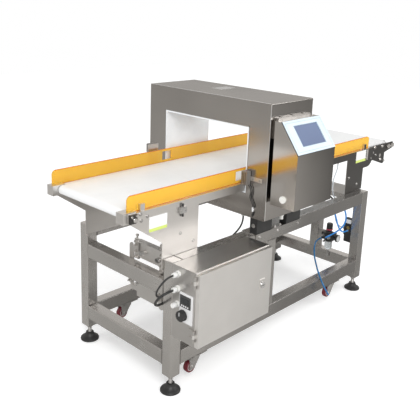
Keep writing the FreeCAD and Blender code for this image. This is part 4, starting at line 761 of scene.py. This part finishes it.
turned(fittings, [(3.2, 0), (4.9, 0.5), (4.9, 8), (3.2, 8)], (1160, 64, 708), "z", 24)
for y, z in ((150, 262), (188, 268), (176, 240)):
    turned(fittings, [(0, 0), (6.5, 0), (6.5, 5), (4.4, 6), (4.4, 12), (5.6, 13), (5.6, 17), (0, 18)],
           (1287, y, z), "-x", sides=12)
piece("air_fittings", fittings, chrome)
gauge = bmesh.new()
turned(gauge, [(0, 23), (5.8, 23), (5.8, 12), (19.6, 11.2), (20, 9.5), (20, 1.2), (19, 0.2),
               (17.6, 0.2), (17.6, 1.4), (0, 1.4)], (1310, 111, 262), "y", 44)
piece("gauge_case", gauge, unit_black)


def gauge_face(where, normal):
    middle = spot(1310, 112, 262)
    across = where.part(0) - middle.x
    up = where.part(2) - middle.z
    square = across * across + up * up
    scale = abs(square.math("SQRT", square) - 0.0132).clipped(0.0008, 0.0002) * (up > -0.008)
    return {"Base Color": scale.blend((0.82, 0.83, 0.82, 1), (0.05, 0.05, 0.06, 1))}


dial = bmesh.new()
turned(dial, [(0, 0), (17.4, 0), (17.4, 0.6), (0, 0.6)], (1310, 112, 262), "y", 44)
turned(dial, [(0, -0.8), (1.4, -0.8), (1.4, 0), (0, 0)], (1310, 112, 262), "y", 16)
piece("gauge_dial", dial, finish("gauge_face", gauge_face, roughness=0.3))
cap = bmesh.new()
turned(cap, [(5, -7.7), (5, 0.2), (14.4, 0.2), (14.4, 6), (15.6, 8), (15.6, 34), (14, 37.4), (0, 38)],
       (1310, 169.5, 295.3), "z", 40)
dial_ribs = 20
for rib in range(dial_ribs):
    angle = 2 * math.pi * rib / dial_ribs
    turned(cap, [(0, 9), (1, 9), (1, 33), (0, 33)],
           (1310 + 15.2 * math.cos(angle), 169.5 + 15.2 * math.sin(angle), 295.3), "z", 8)
piece("regulator_knob", cap, unit_black, "regulator_dial", ["regulator_dial"])
ring = bmesh.new()
turned(ring, [(14.2, 0), (17, 0.4), (17, 5), (14.2, 5.4)], (1310, 169.5, 297), "z", 40)
piece("regulator_ring", ring, pink, "regulator_dial")
valve = bmesh.new()
slab(valve, (1332, 50, 286), (1360, 99, 339))
piece("valve_body", valve, unit_black, stands_for=["solenoid_valve"], soft=1.5)
ports = bmesh.new()
turned(ports, [(0, 0), (9, 0), (9, 4), (7, 5), (0, 5)], (1332, 72, 330), "-x", sides=6)
turned(ports, [(0, 0), (8, 0), (8, 6), (0, 6)], (1346, 50, 300), "-y", sides=6)
turned(ports, [(0, 0), (7, 0), (7, 4), (0, 4)], (1346, 50, 325), "-y", 20)
piece("valve_ports", ports, brass)
valve_ends = bmesh.new()
slab(valve_ends, (1334, 53, 339), (1358, 97, 379))
slab(valve_ends, (1334, 53, 249), (1358, 97, 286))
piece("valve_ends", valve_ends, unit_black, soft=3)
connector = bmesh.new()
slab(connector, (1333.2, 58, 352), (1334.4, 92, 374))
piece("valve_label", connector, bed_white, soft=0.8)
coat("blow_nozzle", brass)

# Infeed bracket: brushed steel strips and plates held to the infeed beam by clamp bars with studs and
# hexagon nuts, and two knurled hand nuts.
bracket_steel = brushed("bracket_steel", 0.6, 0.3)
coat("infeed_bracket", bracket_steel)
bolts("bracket_bolts", [(47, 226, 499), (47, 114, 519), (47, 92, 534), (47, 254, 358), (47, 147, 363),
                        (50, 114, 420), (50, 291, 436)], "-x", 5)
bolts("bracket_top_bolts", [(36, 221, 552), (36, 109, 552), (28, 165, 552)], "z", 5)
clamps = bmesh.new()
clamp_nuts = bmesh.new()
slab(clamps, (40, 238, 468), (50, 262, 550))
slab(clamps, (38, 92, 462), (47, 112, 560))
slab(clamps, (42, 262, 492), (50, 280, 512))
slab(clamps, (43, 281, 352), (50, 301, 402))
slab(clamps, (41, 104, 322), (50, 124, 372))
for y, face, heights in ((250, 40, (542, 526, 500, 478)), (102, 38, (548, 530, 508, 486, 468)),
                         (291, 43, (392, 362)), (114, 41, (362, 340, 318))):
    for height in heights:
        turned(clamp_nuts, [(0, 0), (7, 0), (7, 5), (3.6, 5.4), (3.6, 12), (0, 12.6)],
               (face, y, height), "-x", sides=6)
for y in (250, 102):
    turned(clamp_nuts, [(0, 0), (4, 0), (4, 12), (7, 12), (7, 18), (0, 18.6)], (44, y, 550), "z", sides=6)
piece("bracket_clamps", clamps, bracket_steel, soft=0.8)
piece("bracket_clamp_nuts", clamp_nuts, roller_steel)
nuts = bmesh.new()
knurls = 24
for y in (114, 208):
    turned(nuts, [(0, 0), (8.6, 0), (9.6, 1.2), (9.6, 12), (8.6, 13.2), (5.5, 13.6), (5.5, 24)],
           (23, y, 506), "x", 40)
    for rib in range(knurls):
        angle = 2 * math.pi * rib / knurls
        turned(nuts, [(0, 1), (0.7, 1), (0.7, 12), (0, 12)],
               (23, y + 9.6 * math.cos(angle), 506 + 9.6 * math.sin(angle)), "x", 6)
piece("hand_nuts", nuts, alloy)

# Cords: two grey-black cables from the cabinet's glands, three air tubes. Each is cut to length,
# pushed into its fitting and laid by hand, held by the clips on the low side of the front rail.
ROUTES = {
    "head_cable": (7, 798, "limp", "loose", "object", [
        (-28, -30, 512), (-50, -30, 512), (-67, -22, 496), (-66, 2, 466), (-54, 28, 432),
        (-30, 52, 401), (8, 68, 380), (52, 71, 386), (88, 67, 415), (112, 63, 455),
        (146, 61, 493), (200, 60.5, 511), (267, 60, 513), (335, 62, 512), (395, 72, 518),
        (446, 86, 526), (484, 97, 538), (500, 100, 560), (500, 100, 582)]),
    "motor_cable": (9, 1864, "limp", "loose", "object", [
        (-28, -30, 455), (-55, -30, 455), (-75, -12, 437), (-67, 20, 400), (-34, 52, 366),
        (14, 70, 349), (62, 76, 356), (100, 74, 384), (126, 68, 426), (150, 64, 468),
        (190, 62, 492), (255, 61.5, 494.5), (350, 62, 493), (460, 61.5, 495),
        (560, 62, 493), (667, 61.5, 494.5), (780, 62, 493), (900, 61.5, 495),
        (1010, 62, 493.5), (1090, 62, 495), (1160, 72, 498), (1212, 104, 504),
        (1244, 160, 510), (1260, 240, 515), (1264, 320, 517), (1264, 376, 524),
        (1263, 415, 540), (1262, 430, 567), (1262, 430, 595)]),
    "air_tube": (8, 676, "limp", "loose", "object", [
        (1277, 154, 272), (1250, 154, 272), (1230, 138, 282), (1236, 114, 302),
        (1264, 92, 322), (1287, 75, 349), (1293, 67, 382), (1284, 65, 415),
        (1265, 65, 447), (1257, 65, 481), (1240, 65, 510), (1210, 65, 523),
        (1180, 65, 512), (1165, 65, 484), (1172, 65, 450), (1194, 66, 414),
        (1215, 68, 378), (1240, 70, 345), (1270, 71, 323), (1298, 70, 316),
        (1323, 70, 316)]),
    "blow_tube": (6, 548, "medium", "loose", "object", [
        (1346, 108, 316), (1346, 134, 316), (1345, 154, 334), (1336, 158, 366),
        (1320, 154, 402), (1300, 140, 440), (1272, 120, 476), (1236, 100, 502),
        (1194, 84, 518), (1156, 70, 538), (1130, 63, 570), (1122, 61, 608),
        (1132, 62, 642), (1152, 64, 666), (1160, 64, 688), (1160, 64, 708)]),
    "supply_hose": (8, 470, "medium", "hanging", "bare", [
        (1275, 196, 250), (1240, 196, 250), (1192, 178, 247), (1146, 150, 236),
        (1104, 118, 216), (1060, 76, 200), (1008, 28, 190), (975, -14, 170),
        (976, -38, 136), (1000, -44, 100)]),
}
jacket = moulded("jacket", grey(0.02), grey(0.045), 0.45, grain=1500)
tube_blue = moulded("tube_blue", (0.02, 0.2, 0.62, 1), (0.05, 0.3, 0.75, 1), 0.25)
hose_teal = moulded("hose_teal", (0.012, 0.12, 0.3, 1), (0.03, 0.18, 0.4, 1), 0.25)
tube_clear = moulded("tube_clear", (0.5, 0.54, 0.58, 1), (0.6, 0.63, 0.66, 1), 0.25)
SKINS = {"head_cable": (jacket, "cable_jacket"), "motor_cable": (jacket, "cable_jacket"),
         "air_tube": (tube_blue, "air_tube_blue"), "blow_tube": (tube_clear, "air_tube_clear"),
         "supply_hose": (hose_teal, "air_tube_blue")}
for name, (thick, length, stiffness, lay, far_end, route) in ROUTES.items():
    curve = bpy.data.curves.new(name + "_run", "CURVE")
    curve.dimensions = "3D"
    curve.bevel_depth = thick / 2 / metre
    curve.bevel_resolution = 5
    curve.resolution_u = 8
    curve.use_fill_caps = True
    line = curve.splines.new("NURBS")
    line.points.add(len(route) - 1)
    for point, place in zip(line.points, route):
        point.co = (*spot(*place), 1)
    line.order_u = 3
    line.use_endpoint_u = True
    skin, slot = SKINS[name]
    curve.materials.append(skin)
    cord = bpy.data.objects.new(name + "_run", curve)
    bpy.context.collection.objects.link(cord)
    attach(cord, "machine_frame")
    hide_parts(name)
    spot(*route[0])

# Camera: it stands to the near infeed side, a little above the guards, and looks along the conveyor.
camera = bpy.data.objects.new("camera", bpy.data.cameras.new("camera"))
bpy.context.collection.objects.link(camera)
camera.data.lens = 53.31
camera.data.shift_x = 0.0206
camera.data.shift_y = -0.1175
heading = Matrix.Rotation(math.radians(43.75 - 90), 4, "Z")
tilt = Matrix.Rotation(math.radians(90 - 14.37), 4, "X")
roll = Matrix.Rotation(math.radians(2.0), 4, "Z")
camera.matrix_world = Matrix.Translation((-2.1782, -1.7071, 1.4515)) @ heading @ tilt @ roll
bpy.context.scene.camera = camera

# Stage: a pale floor and soft lamps. The camera sees plain white behind the object, and the steel
# reflects a studio that is dim at eye level and overhead, with a bright band between.
stage_paint = bpy.data.materials.new("floor")
stage_paint.use_nodes = True
floor_tree = stage_paint.node_tree
floor_start = floor_tree.nodes.new("ShaderNodeLightPath")
in_steel = Value(floor_tree, floor_start.outputs["Is Glossy Ray"])
in_view = Value(floor_tree, floor_start.outputs["Is Camera Ray"])
floor_shader = floor_tree.nodes["Principled BSDF"]
floor_shader.inputs["Roughness"].default_value = 0.9
floor_shader.inputs["Specular IOR Level"].default_value = 0.1
floor_tree.links.new(in_steel.blend((0.95, 0.95, 0.95, 1), (0.5, 0.49, 0.47, 1)).socket,
                     floor_shader.inputs["Base Color"])
floor_shader.inputs["Emission Strength"].default_value = 1
floor_tree.links.new(in_view.blend((0, 0, 0, 1), (0.22, 0.22, 0.22, 1)).socket,
                     floor_shader.inputs["Emission Color"])
floor_mesh = bpy.data.meshes.new("floor")
floor_mesh.from_pydata([(-9, -9, 0), (9, -9, 0), (9, 9, 0), (-9, 9, 0)], [], [(0, 1, 2, 3)])
floor_mesh.materials.append(stage_paint)
floor = bpy.data.objects.new("floor", floor_mesh)
bpy.context.collection.objects.link(floor)

world = bpy.data.worlds.new("studio")
bpy.context.scene.world = world
world.use_nodes = True
sky_tree = world.node_tree
seen = sky_tree.nodes.new("ShaderNodeLightPath")
glossy = Value(sky_tree, seen.outputs["Is Glossy Ray"])
direct = Value(sky_tree, seen.outputs["Is Camera Ray"])
through = Value(sky_tree, seen.outputs["Is Transmission Ray"])
outlook = Value(sky_tree, sky_tree.nodes.new("ShaderNodeTexCoord").outputs["Generated"])
rise = outlook.part(2)
band = rise.clipped(0.02, 0.3) * (1 - rise.clipped(0.45, 0.8))
side = outlook.part(0).clipped(0.1, -0.9)
level = (0.1 + band * 0.75 + side * 0.3)
studio = level.blend((0.0, 0.0, 0.0, 1), (1.0, 0.97, 0.93, 1))
lit = glossy.blend((0.92, 0.92, 0.92, 1), studio)
final = (direct + through).clipped(0, 1).blend(lit, (1.0, 1.0, 1.0, 1))
sky_tree.links.new(final.socket, sky_tree.nodes["Background"].inputs["Color"])
for name, place, aim, size, power in (
        ("key", (-2.4, -2.6, 3.0), (0, 0, 0.5), 2.0, 75),
        ("fill", (2.2, -2.6, 2.4), (0.2, 0, 0.6), 1.6, 28)):
    lamp = bpy.data.objects.new(name, bpy.data.lights.new(name, "AREA"))
    lamp.data.size = size
    lamp.data.energy = power
    lamp.location = place
    lamp.rotation_euler = (Vector(aim) - Vector(place)).to_track_quat("-Z", "Y").to_euler()
    bpy.context.collection.objects.link(lamp)
bpy.context.scene.view_settings.view_transform = "Standard"

bpy.context.view_layer.update()
